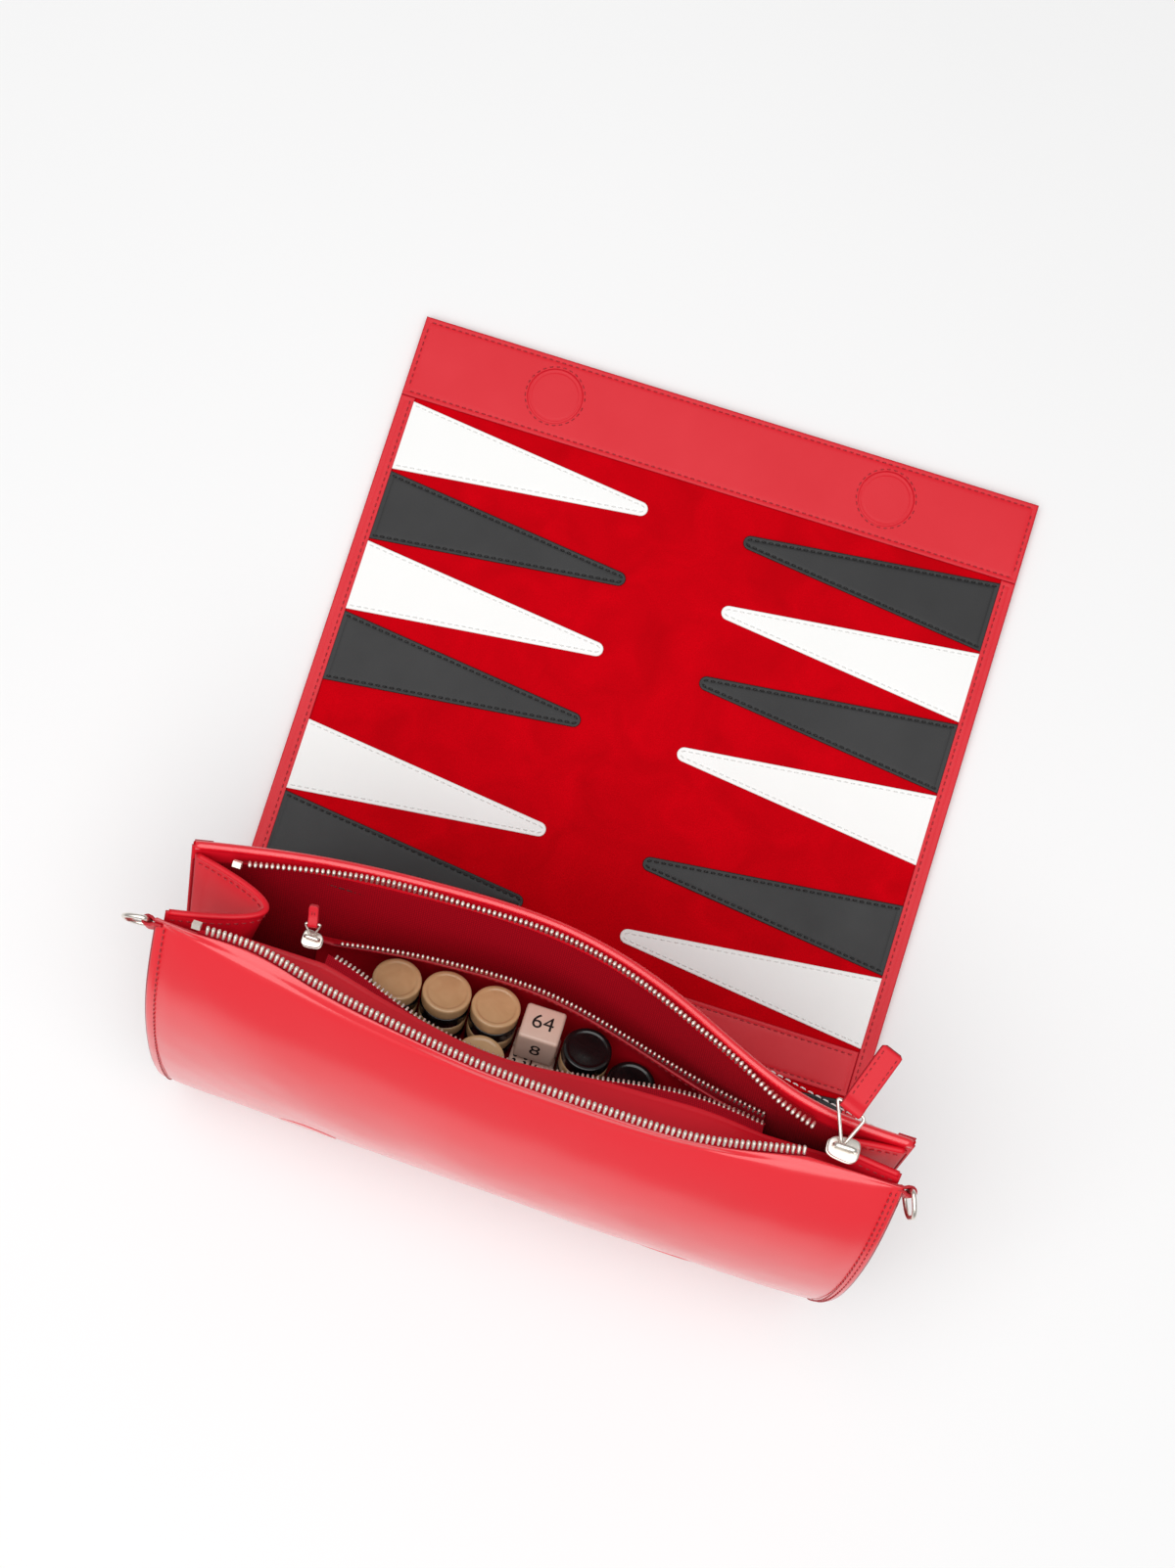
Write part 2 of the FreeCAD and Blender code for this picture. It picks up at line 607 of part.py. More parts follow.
def inner_front_tape(row, x0, x1):
    """The tape of the inner zip's front row, from the facing's edge to the teeth."""
    def root(x):
        edge = at_x(row, x)
        return edge + (inner_front_anchor(x) - edge).normalize() * (INNER_TAPE_WIDTH - 0.3)
    return band(row, root, x0, x1, 0, 0, TAPE)


# ---- Sliders, pullers and strap rings ----

def oriented(shape, at, along, up):
    """The shape moved from the origin to at, its X turned to along and its Z to up."""
    x_axis = V(along).normalize()
    y_axis = up.cross(x_axis).normalize()
    z_axis = x_axis.cross(y_axis)
    turn = FreeCAD.Matrix(x_axis.x, y_axis.x, z_axis.x, at.x, x_axis.y, y_axis.y, z_axis.y, at.y,
                          x_axis.z, y_axis.z, z_axis.z, at.z, 0, 0, 0, 1)
    placed = shape.copy()
    placed.Placement = FreeCAD.Placement(turn).multiply(placed.Placement)
    return placed


def slider(size, room):
    """A zip slider about the origin: two plates joined by a nose, and a bridge over the top plate."""
    length, width, height = size
    plate = (height - room) / 2
    body = Part.makeBox(length, width, height, V(-length / 2, -width / 2, -height / 2))
    body = body.makeFillet(plate * 0.8, [e for e in body.Edges if abs(e.tangentAt(0).x) > 0.9])
    wedge = length * 0.34
    channel = Part.makeBox(length - wedge, width + 2, room, V(-length / 2, -width / 2 - 1, -room / 2))
    body = body.cut(channel)
    leg = BRIDGE
    half = length * 0.36
    top = height / 2 + BRIDGE_HEIGHT
    outer = Part.makeBox(2 * half, leg * 1.6, top, V(-half, -leg * 0.8, 0))
    outer = outer.makeFillet(leg, [e for e in outer.Edges if e.BoundBox.ZMin > top - 0.1 and
                                   e.BoundBox.XLength < 0.1])
    hole = Part.makeBox(2 * half - 2 * leg, leg * 4, top - leg, V(-half + leg, -leg * 2, 0))
    bridge = outer.cut(hole)
    keep_out = Part.makeBox(length, width, height / 2 - 0.3, V(-length / 2, -width / 2, 0))
    return body.fuse(bridge.cut(keep_out)).removeSplitter()


def capsule(a, b, radius):
    rod = Part.makeCylinder(radius, (b - a).Length, a, b - a)
    return rod.fuse(Part.makeSphere(radius, a)).fuse(Part.makeSphere(radius, b))


def bent_wire(points, radius, closed):
    """Round wire along straight runs with ball corners."""
    ends = points + [points[0]] if closed else points
    shape = capsule(ends[0], ends[1], radius)
    for a, b in zip(ends[1:-1], ends[2:]):
        shape = shape.fuse(capsule(a, b, radius))
    return shape.removeSplitter()


def checker():
    disc_shape = Part.makeCylinder(CHECKER_RADIUS, CHECKER_THICKNESS, V(0, 0, -CHECKER_THICKNESS / 2))
    rims = [e for e in disc_shape.Edges if e.Curve.TypeId == "Part::GeomCircle"]
    return disc_shape.makeFillet(CHECKER_RIM, rims)


def rounded_cube(size, radius):
    cube = Part.makeBox(size, size, size, V(-size / 2, -size / 2, -size / 2))
    return cube.makeFillet(radius, cube.Edges)


LIFTED = 2                               # the top light checker of the second stack


def piece_parts():
    light, dark = [], []
    for x, across, drop, colours in STACKS:
        for i, colour in enumerate(colours):
            at = STACK_TOP + V(x, 0, 0) + STACK_ACROSS * across - STACK_UP * (drop + i * CHECKER_STEP)
            solid = oriented(checker(), at, V(1, 0, 0), STACK_UP)
            (light if colour == "L" else dark).append(solid)
    lifted = light.pop(LIFTED)
    dice = []
    for x, across in DICE:
        at = STACK_TOP + V(x, 0, 0) + STACK_ACROSS * across - STACK_UP * DICE_DROP
        dice.append(oriented(rounded_cube(DIE, 1.0), at, V(1, 0, 0), STACK_UP))
    return {
        "light_checkers": group(light),
        "dark_checkers": group(dark),
        "top_light_checker": lifted,
        "doubling_cube": oriented(rounded_cube(CUBE, 1.4), CUBE_AT, V(1, 0, 0), STACK_UP),
        "dice": group(dice),
    }


SLIDER_UP = V(0, 0.25, 0.97)
EYE_CLEARANCE = 0.35                     # between the puller's wire and the slider's top plate
EYE_AHEAD = 1.2                          # the puller hangs this far behind the slider's middle
LINK_LIE = V(-0.06, 0.985, 0.12)
TAB_LIE = V(0.345, 0.936, -0.09)
INNER_SLIDER_UP = V(0, 0.25, 0.97)
INNER_RING_LIE = V(-0.15, 0.88, 0.45)


def puller_eye(at, up, size, ahead, wire):
    """The middle of the puller's wire where it lies in the slider's bridge, just above the top plate."""
    return at + V(-ahead, 0, 0) + up * (size[2] / 2 + wire / 2 + EYE_CLEARANCE)


def slotted_tab(size, start, side, lie, wire, at):
    """A folded leather tab with a bore for the wire that carries it."""
    width, length, thick = size
    tab = Part.makeBox(width, length, thick, V(-width / 2, -wire, -thick / 2))
    tab = tab.makeFillet(thick * 0.3, tab.Edges)
    tab = oriented(tab, start, side, side.cross(lie))
    bore = Part.makeCylinder(wire / 2 + 0.15, width + 4, at - side * (width / 2 + 2), side)
    return tab.cut(bore)


def outer_pull_parts():
    """The slider, the wire link through its bridge, and the folded leather tab."""
    up = V(SLIDER_UP).normalize()
    body = oriented(slider(SLIDER_SIZE, SLIDER_ROOM), SLIDER_AT, V(1, 0, 0), up)
    eye = puller_eye(SLIDER_AT, up, SLIDER_SIZE, EYE_AHEAD, WIRE)
    lie = V(LINK_LIE).normalize()
    tab_lie = V(TAB_LIE).normalize()
    side = V(1, -TAB_LIE.x / TAB_LIE.y, 0).normalize()
    half = side * (LINK_BAR / 2)
    far = eye + lie * LINK_LENGTH
    link = bent_wire([eye, far - half, far + half], WIRE / 2, True)
    tab = slotted_tab(TAB, far, side, tab_lie, WIRE, far)
    return {"outer_slider": body, "outer_pull_link": link, "outer_pull_tab": tab}


def inner_pull_parts():
    """The inner slider, its ring and its small leather tab."""
    up = V(INNER_SLIDER_UP).normalize()
    body = oriented(slider(INNER_SLIDER_SIZE, INNER_SLIDER_ROOM), INNER_SLIDER_AT, V(-1, 0, 0), up)
    eye = puller_eye(INNER_SLIDER_AT, up, INNER_SLIDER_SIZE, 0, INNER_WIRE)
    lie = V(INNER_RING_LIE).normalize()
    side = V(1, -INNER_RING_LIE.x / INNER_RING_LIE.y, 0).normalize()
    half = side * INNER_RING_RADIUS
    far = eye + lie * (INNER_RING_RADIUS * 2)
    ring = bent_wire([eye, far - half, far + half], INNER_WIRE / 2, True)
    tab = slotted_tab(INNER_TAB, far, side, lie, INNER_WIRE, far)
    return {"inner_slider": body, "inner_pull_ring": ring, "inner_pull_tab": tab}


def d_ring_frame(side):
    """The middle of a strap ring's straight bar, the bar's direction, and where the ring points."""
    if side < 0:
        return V(-HALF_WIDTH - RING_OUT, -20.5, 131.5), V(0, 0.2, 0.98).normalize(), V(-1, -0.12, 0.02).normalize()
    return V(HALF_WIDTH + RING_OUT, -30.5, 134.5), V(0, 0.2, 0.98).normalize(), V(0.35, -0.93, 0.19).normalize()


def d_ring(side):
    """A D of round wire whose straight bar runs through the leather loop at a top corner of the front wall."""
    bar, up, out = d_ring_frame(side)
    radius = D_RING_WIRE / 2
    half = D_RING_WIDTH / 2 + radius
    deep = D_RING_DEPTH + radius
    a, b = bar - up * half, bar + up * half
    mids = [(1.0, 0.40), (0.86, 0.76), (0.5, 1.0), (-0.5, 1.0), (-0.86, 0.76), (-1.0, 0.40)]
    return bent_wire([a, b] + [bar + up * (half * m) + out * (deep * n) for m, n in mids], radius, True)


def strap_loop(side):
    """The leather loop sewn to the corner, folded round the ring's bar."""
    bar, up, out = d_ring_frame(side)
    outer, inner = D_RING_WIRE / 2 + 1.6, D_RING_WIRE / 2 + 0.35
    base = bar - up * (LOOP_WIDTH / 2)
    tube = Part.makeCylinder(outer, LOOP_WIDTH, base, up)
    tail = oriented(Part.makeBox(RING_OUT, LOOP_WIDTH, outer * 2, V(0, -LOOP_WIDTH / 2, -outer)), bar,
                    V(-side, 0, 0), V(-side, 0, 0).cross(up))
    bore = Part.makeCylinder(inner, LOOP_WIDTH + 2, base - up, up)
    return tube.fuse(tail).cut(bore).removeSplitter()


def strap_parts():
    return {
        "left_d_ring": d_ring(-1), "right_d_ring": d_ring(1),
        "left_ring_loop": strap_loop(-1), "right_ring_loop": strap_loop(1),
    }


os.makedirs("parts", exist_ok=True)
shapes = {}
for make in (flap_parts, back_parts, top_fold_parts, bottom_fold_parts, rear_parts, front_parts,
             gusset_parts, pocket_parts, zip_parts, piece_parts, outer_pull_parts, inner_pull_parts, strap_parts):
    shapes.update(make())
for name, shape in shapes.items():
    print(name, len(shape.Solids), shape.isValid(), round(shape.Volume / 1000, 2), flush=True)
    shape.exportStep(f"parts/{name}.step")
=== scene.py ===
"""Looks of a roll-up backgammon case: a leather playing board, a zipped pouch and its game pieces.

Sizes below are in millimetres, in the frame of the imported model: +X across the board, +Y towards the
flap's free end, +Z up from the table. They are turned to metres where a mesh is made.
"""
import math

import bmesh
import bpy
import numpy as np
from mathutils import Matrix


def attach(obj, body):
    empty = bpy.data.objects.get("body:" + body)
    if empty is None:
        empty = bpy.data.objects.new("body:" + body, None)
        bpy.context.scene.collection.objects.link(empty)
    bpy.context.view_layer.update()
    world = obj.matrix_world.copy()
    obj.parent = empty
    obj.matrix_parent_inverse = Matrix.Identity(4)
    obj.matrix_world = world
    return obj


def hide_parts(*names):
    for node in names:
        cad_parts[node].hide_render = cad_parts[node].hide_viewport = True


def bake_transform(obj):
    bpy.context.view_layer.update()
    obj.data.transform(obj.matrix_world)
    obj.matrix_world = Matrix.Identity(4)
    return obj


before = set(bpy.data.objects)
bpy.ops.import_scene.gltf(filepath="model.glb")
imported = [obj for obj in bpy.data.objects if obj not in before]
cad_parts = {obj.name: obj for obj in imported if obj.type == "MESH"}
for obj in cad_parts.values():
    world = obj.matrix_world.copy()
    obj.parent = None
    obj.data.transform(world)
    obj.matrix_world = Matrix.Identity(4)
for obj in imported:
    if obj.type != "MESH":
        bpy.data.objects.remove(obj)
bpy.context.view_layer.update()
MM = 0.001

# ---- Sizes repeated from the part's source ----
POINT_PITCH, POINT_BASE, POINT_LENGTH, TIP_RADIUS = 34.6, 33.6, 120.0, 3.4
END_BAND, BAND_GAP, BAR, BAR_GAP, EDGE_STRIP = 39.0, 1.2, 21.2, 1.0, 7.0
LEATHER, LINING, TAPE = 1.2, 0.6, 0.6
FACE, LAYER = 3.1, 0.9                    # height of the playing face, and of what is sewn on it
HALF = 150.0
BACK_HALF, FLAP_START, FLAP_END = 80.8, 99.2, 277.8
MAGNET_X, MAGNET_Y = 81.0, FLAP_END - 18.5
FOLD_LENGTH, FOLD_TURN = 18.4, math.radians(138)
FOLD_RADIUS = FOLD_LENGTH / FOLD_TURN
REAR_Y = -BACK_HALF - FOLD_RADIUS * math.sin(FOLD_TURN)
REAR_Z = FACE / 2 + FOLD_RADIUS * (1 - math.cos(FOLD_TURN))
REAR_HEIGHT = 142.0
LEAN_AT = np.arange(-150.0, 151.0, 50.0)
LEANS = np.radians([46.0, 40.6, 38.0, 38.4, 46.0, 56.5, 58.8])
FRONT_STEPS = np.array([0.0, 0.1, 0.205, 0.47, 0.735, 1.0])
FRONT_LEFT = np.array([(-88.5, 16.5), (-90.0, 30.0), (-86.5, 46.0), (-70.0, 83.0), (-46.0, 115.0), (-14.5, 137.0)])
FRONT_MIDDLE = np.array([(-88.5, 16.5), (-93.0, 31.0), (-92.0, 46.0), (-84.0, 84.0), (-65.0, 118.0), (-36.0, 145.5)])
FRONT_RIGHT = np.array([(-88.5, 16.5), (-94.5, 31.0), (-94.0, 46.0), (-83.0, 84.0), (-58.0, 120.0), (-24.5, 141.5)])
FRONT_ROW = np.array([(-133.5, -16.9, 138.7), (-110, -17.3, 138.9), (-85, -22.6, 141.9), (-52, -28.1, 144.6),
                      (-20, -32.2, 146.5), (11.5, -34.0, 147.2), (42, -34.6, 147.0), (72, -33.8, 145.6),
                      (95, -30.0, 142.6), (112, -26.8, 139.6)])
REAR_ROW = np.array([(-130.7, 10.4, 115.8), (-103, 16.4, 109.8), (-72, 20.7, 104.9), (-40, 21.6, 103.8),
                     (-7, 21.6, 103.8), (27.4, 15.7, 110.6), (63, 2.8, 122.8), (80, -4.4, 128.2),
                     (96, -12.2, 133.6), (112, -17.4, 136.8)])
INNER_FRONT_ROW = np.array([(-86, -12.4, 118.4), (-75, -15.0, 119.0), (-59, -20.6, 119.4), (-32, -28.4, 119.4),
                            (0, -30.6, 119.0), (41.8, -24.8, 118.6), (70.7, -22.0, 119.0), (96, -24.2, 119.6)])
INNER_REAR_ROW = np.array([(-86, -8.2, 114.6), (-63, -4.3, 110.4), (-32, -1.6, 107.6), (0.8, -1.9, 107.2),
                           (35.3, -8.6, 109.6), (69.7, -16.6, 114.2), (96, -20.8, 117.4)])
TAPE_ENDS, INNER_TAPE_ENDS = (-133.0, 111.6), (-85.6, 95.6)
STACK_UP, STACK_ACROSS = np.array([0, 0.6, 0.8]), np.array([0, -0.8, 0.6])
STACK_TOP = np.array([0, -14.5, 95.0])
STACKS = [(-58.8, 2.5, 0, "LDLD"), (-38.2, 1.0, 0, "LDLD"), (-17.6, 0.7, 0, "LDLD"), (22.4, 6.6, 0.5, "DLDL"),
          (43.0, 12.0, 6.0, "DLD"), (63.6, 20.3, 6.5, "DLD"), (-50.0, 21.2, 6.5, "LDL"),
          (-17.6, 21.2, 6.5, "LDL"), (26.0, 26.9, 13.0, "DL")]
LIFTED_STACK = 1
CUBE, CUBE_AT, DIE = 16.5, np.array([2.4, -19.0, 94.0]), 9.0
SLIDER_AT, SLIDER_UP = np.array([122.5, -21.8, 146.2]), np.array([0, 0.25, 0.97])
INNER_SLIDER_AT = np.array([-92.5, -9.0, 122.6])

STITCH_IN = 2.3                            # a seam's distance from the leather's edge
POINT_SEAM_IN = 1.9                        # and on the points
STITCH_PITCH = 3.2
POINT_TUCK = 0.4                           # how far a point's base reaches under the edge strip
FRONT_WALL = 148.0                         # length of the front wall's profile


# ---- Small maths ----
def unit(v):
    """The vector, or each of several, at length one."""
    v = np.asarray(v, float)
    return v / np.linalg.norm(v, axis=-1, keepdims=True)


def spline_weights(knots, at):
    """Share of each knot's value in the natural cubic curve through them: the second derivatives solve the
    usual tridiagonal system, and a place between two knots mixes their values and second derivatives."""
    knots, at = np.asarray(knots, float), np.asarray(at, float)
    n, h = len(knots), np.diff(knots)
    inner = np.arange(1, n - 1)
    system, right = np.eye(n), np.zeros((n, n))
    system[inner, inner - 1], system[inner, inner], system[inner, inner + 1] = h[:-1], 2 * (h[:-1] + h[1:]), h[1:]
    right[inner, inner - 1], right[inner, inner + 1] = 6 / h[:-1], 6 / h[1:]
    right[inner, inner] = -6 / h[:-1] - 6 / h[1:]
    bends = np.linalg.solve(system, right)
    i = np.clip(np.searchsorted(knots, at) - 1, 0, n - 2)
    b = ((at - knots[i]) / h[i])[..., None]
    a = 1 - b
    square = (h[i] ** 2 / 6)[..., None]
    values = np.eye(n)
    return a * values[i] + b * values[i + 1] + square * ((a ** 3 - a) * bends[i] + (b ** 3 - b) * bends[i + 1])


def ripple(x, y, size, seed):
    """Slow unevenness between -1 and 1: a sum of five sine waves of about that size in seeded directions."""
    rng = np.random.default_rng(seed)
    turn, shift, stretch = rng.uniform(0, 6.28, 5), rng.uniform(0, 6.28, 5), rng.uniform(0.7, 1.5, 5)
    wave = [np.sin((x * np.cos(t) + y * np.sin(t)) * 6.28 / (size * s) + p) for t, p, s in zip(turn, shift, stretch)]
    return np.mean(wave, axis=0)


def walk(path):
    """Distance along a path at each of its points."""
    return np.concatenate([[0], np.cumsum(np.linalg.norm(np.diff(path, axis=0), axis=1))])


def at_distance(at, distances, values):
    """Points or directions at places along a path, read between those given at its distances."""
    return np.stack([np.interp(at, distances, values[:, k]) for k in range(3)], -1)


def row_line(points, count=900):
    """A zip row as many close points: a cubic curve through its given points, spaced by their distances."""
    knots = walk(points)
    return spline_weights(knots, np.linspace(0, knots[-1], count)) @ points


def row_at(line, x):
    """The point of a zip row's line at each x."""
    return np.stack([x, np.interp(x, line[:, 0], line[:, 1]), np.interp(x, line[:, 0], line[:, 2])], -1)


LINES = {"front": row_line(FRONT_ROW), "rear": row_line(REAR_ROW),
         "inner_front": row_line(INNER_FRONT_ROW), "inner_rear": row_line(INNER_REAR_ROW)}


# ---- The pouch's two walls and its pocket as surfaces ----
def rear_at(x, up, inward):
    """The rear wall: a straight line rises from the bottom fold at the lean that a cubic curve gives at x,
    and inward is measured square to it, towards the pouch's inside."""
    x, up, inward = np.broadcast_arrays(*(np.asarray(k, float) for k in (x, up, inward)))
    a = spline_weights(LEAN_AT, x) @ LEANS
    return np.stack([x, REAR_Y + up * np.cos(a) - inward * np.sin(a),
                     REAR_Z + up * np.sin(a) + inward * np.cos(a)], -1)


def front_at(x, step, depth):
    """The front wall: at each x its six profile points come from a parabola through the left, middle and
    right profiles, a cubic curve joins them, and depth is measured inside it along its normal."""
    x, step, depth = np.broadcast_arrays(*(np.asarray(k, float) for k in (x, step, depth)))
    s = (x / HALF)[..., None, None]
    knots = FRONT_LEFT * s * (s - 1) / 2 + FRONT_MIDDLE * (1 - s * s) + FRONT_RIGHT * s * (s + 1) / 2

    def on(at):
        """The point of each x's profile at that share of its length."""
        return (spline_weights(FRONT_STEPS, at)[..., None] * knots).sum(-2)

    small = 0.004
    along = unit(on(np.minimum(step + small, 1)) - on(np.maximum(step - small, 0)))
    at = on(step) + np.stack([along[..., 1], -along[..., 0]], -1) * depth[..., None]
    return np.concatenate([x[..., None], at], -1)


def pocket_rear_at(x, share, depth):
    """The pocket's rear wall: a cubic curve from its floor over a knee to the inner zip's rear tape."""
    x, share = np.broadcast_arrays(np.asarray(x, float), np.asarray(share, float))
    low = rear_at(x, 0.0, 3.6)
    climb = rear_at(x, 1.0, 3.6) - low
    start = ((43.0 - low @ STACK_UP) / (climb @ STACK_UP))[..., None]
    floor = low + climb * start
    knee = low + climb * (start + 20.0) + STACK_ACROSS
    row = row_at(LINES["inner_rear"], np.clip(x, *INNER_TAPE_ENDS))
    row[..., 0] = x
    top = row + unit(knee - row) * 5.0
    w = spline_weights([0, 0.5, 1], share)[..., None]
    return w[..., 0, :] * floor + w[..., 1, :] * knee + w[..., 2, :] * top + STACK_ACROSS * depth


ANCHORS = {"front": lambda x: front_at(x, 0.935, LEATHER + 1.0),
           "rear": lambda x: rear_at(x, REAR_HEIGHT - 5.0, FACE / 2 + 0.7),
           "inner_front": lambda x: front_at(x, 0.93, 4.2),
           "inner_rear": lambda x: pocket_rear_at(x, 1.0, 0.4)}


# ---- Materials ----
WAVE_SCALE = 314.16                        # a Wave texture at this scale repeats every millimetre


def linear(code, alpha=1.0):
    """An sRGB hex colour as linear light."""
    c = np.array([int(code[i:i + 2], 16) / 255 for i in (0, 2, 4)])
    c = np.where(c <= 0.04045, c / 12.92, ((c + 0.055) / 1.055) ** 2.4)
    return (*c.tolist(), alpha)


def add(tree, kind, inputs=None, **settings):
    """Adds a node, sets its properties, and fills its sockets with values or with other nodes' outputs."""
    made = tree.nodes.new("ShaderNode" + kind)
    for key, value in settings.items():
        setattr(made, key, value)
    for key, value in (inputs or {}).items():
        if isinstance(value, bpy.types.NodeSocket):
            tree.links.new(value, made.inputs[key])
        else:
            made.inputs[key].default_value = value
    return made


def mix_colours(tree, share, first, second):
    """A colour between two, each an sRGB hex code or a socket. A colour Mix has its factor at input 0, its
    colours at 6 and 7, and its result at output 2."""
    first, second = (linear(k) if isinstance(k, str) else k for k in (first, second))
    return add(tree, "Mix", {0: share, 6: first, 7: second}, data_type="RGBA").outputs[2]


def noise(tree, spot, size, **inputs):
    """Soft noise with features of about that many millimetres, on coordinates in metres."""
    return add(tree, "TexNoise", {"Vector": spot, "Scale": 1000 / size, **inputs}).outputs["Fac"]


def new_material(name):
    """An empty node material with its output and its texture coordinates."""
    material = bpy.data.materials.new(name)
    material.use_nodes = True
    tree = material.node_tree
    tree.nodes.clear()
    out = add(tree, "OutputMaterial")
    place = add(tree, "TexCoord")
    return material, tree, out, place


def finish_material(tree, out, colour, roughness, normal, **sockets):
    """Joins one principled shader to the output. More of its sockets may be set by name."""
    inputs = {"Base Color": colour, "Roughness": roughness}
    if normal is not None:
        inputs["Normal"] = normal
    inputs.update(sockets)
    shader = add(tree, "BsdfPrincipled", inputs)
    tree.links.new(shader.outputs["BSDF"], out.inputs["Surface"])


def smooth_leather(name, body, deep, edge, roughness=0.42, grain=0.7, bump=0.05, coat=0.12):
    """Drum-dyed calf leather, glazed smooth: closed pores, slow colour change, darker dyed edges. The pores
    are drawn at grain millimetres, several times coarser than a calf's, so that they still show."""
    material, tree, out, place = new_material(name)
    spot = place.outputs["Object"]
    pores = add(tree, "TexVoronoi", {"Vector": spot, "Scale": 1000 / grain, "Randomness": 0.9}, feature="F1")
    fine = noise(tree, spot, 0.5, Detail=2.0)
    slow = noise(tree, spot, 45, Detail=3.0, Roughness=0.6)
    tone = mix_colours(tree, slow, body, deep)
    rim = add(tree, "Attribute", attribute_name="rim", attribute_type="GEOMETRY")
    dyed = mix_colours(tree, rim.outputs["Fac"], tone, edge)
    height = add(tree, "Math", {0: pores.outputs["Distance"], 1: fine}, operation="ADD")
    skin = add(tree, "Bump", {"Height": height.outputs[0], "Strength": bump * 4, "Distance": 0.00008})
    rough = add(tree, "MapRange", {"Value": slow, "From Min": 0.3, "From Max": 0.7,
                                   "To Min": roughness - 0.04, "To Max": roughness + 0.06})
    finish_material(tree, out, dyed, rough.outputs[0], skin.outputs[0],
                    **{"Coat Weight": coat, "Coat Roughness": 0.16, "Coat IOR": 1.6, "IOR": 1.5,
                       "Specular IOR Level": 0.35 + 0.2 * coat})
    return material


def suede_leather(name, body, deep):
    """Split suede with a short brushed nap: no gloss, a soft sheen, and patches where the nap lies over. The
    nap is drawn at 0.6 mm, coarser than real fibres."""
    material, tree, out, place = new_material(name)
    spot = place.outputs["Object"]
    nap = noise(tree, spot, 0.6, Detail=3.0, Roughness=0.7)
    brushed = noise(tree, spot, 28, Detail=4.0, Distortion=1.2)
    mix = add(tree, "Math", {0: nap, 1: brushed}, operation="MULTIPLY")
    share = add(tree, "MapRange", {"Value": mix.outputs[0], "From Min": 0.12, "From Max": 0.4})
    tone = mix_colours(tree, share.outputs[0], deep, body)
    felt = add(tree, "Bump", {"Height": nap, "Strength": 0.5, "Distance": 0.00025})
    finish_material(tree, out, tone, 0.95, felt.outputs[0],
                    **{"Sheen Weight": 0.04, "Sheen Roughness": 0.5, "Sheen Tint": linear("FF2020"),
                       "Specular IOR Level": 0.04})
    return material


def woven(name, body, deep, thread=0.8, sheen=0.02, roughness=0.85):
    """Woven tape or lining on the piece's own UV, in metres: crossed threads that darken between them."""
    material, tree, out, place = new_material(name)
    spot = place.outputs["UV"]
    warp, weft = (add(tree, "TexWave", {"Vector": spot, "Scale": WAVE_SCALE / thread, "Distortion": 0.3},
                      wave_type="BANDS", bands_direction=way) for way in "XY")
    cross = add(tree, "Math", {0: warp.outputs["Fac"], 1: weft.outputs["Fac"]}, operation="MULTIPLY")
    tone = mix_colours(tree, cross.outputs[0], deep, body)
    cloth = add(tree, "Bump", {"Height": cross.outputs[0], "Strength": 0.5, "Distance": 0.00015})
    finish_material(tree, out, tone, roughness, cloth.outputs[0],
                    **{"Sheen Weight": sheen, "Specular IOR Level": 0.06})
    return material


def sewing_thread(name, body, deep):
    """Twisted polyester thread: slanting plies, drawn at 0.7 mm as a real thread's would not show, and a low
    silky gloss."""
    material, tree, out, place = new_material(name)
    plies = add(tree, "TexWave", {"Vector": place.outputs["Object"], "Scale": WAVE_SCALE / 0.7},
                wave_type="BANDS", bands_direction="DIAGONAL")
    tone = mix_colours(tree, plies.outputs["Fac"], deep, body)
    twist = add(tree, "Bump", {"Height": plies.outputs["Fac"], "Strength": 0.4, "Distance": 0.0001})
    finish_material(tree, out, tone, 0.5, twist.outputs[0], **{"Sheen Weight": 0.1})
    return material


def plated_metal(name, body, deep, roughness=0.2):
    """Zinc alloy or wire, nickel plated and tumbled: bright and warm, with a faint hammered unevenness."""
    material, tree, out, place = new_material(name)
    spot = place.outputs["Object"]
    cloud = noise(tree, spot, 3.0, Detail=3.0)
    fine = noise(tree, spot, 0.4, Detail=2.0)
    tone = mix_colours(tree, cloud, body, deep)
    rough = add(tree, "MapRange", {"Value": fine, "To Min": roughness - 0.06, "To Max": roughness + 0.1})
    dent = add(tree, "Bump", {"Height": cloud, "Strength": 0.15, "Distance": 0.0002})
    finish_material(tree, out, tone, rough.outputs[0], dent.outputs[0], Metallic=1.0)
    return material


def cast_resin(name, body, deep, roughness=0.22):
    """Cast and polished resin: a faint cloud of colour under a clear gloss."""
    material, tree, out, place = new_material(name)
    cloud = noise(tree, place.outputs["Object"], 9.0, Detail=4.0, Distortion=1.5)
    fine = noise(tree, place.outputs["Object"], 1.2, Detail=2.0)
    tone = mix_colours(tree, cloud, body, deep)
    rough = add(tree, "MapRange", {"Value": fine, "To Min": roughness - 0.04, "To Max": roughness + 0.08})
    skin = add(tree, "Bump", {"Height": fine, "Strength": 0.05, "Distance": 0.0001})
    finish_material(tree, out, tone, rough.outputs[0], skin.outputs[0],
                    **{"Coat Weight": 0.3, "Coat Roughness": 0.08, "IOR": 1.5})
    return material


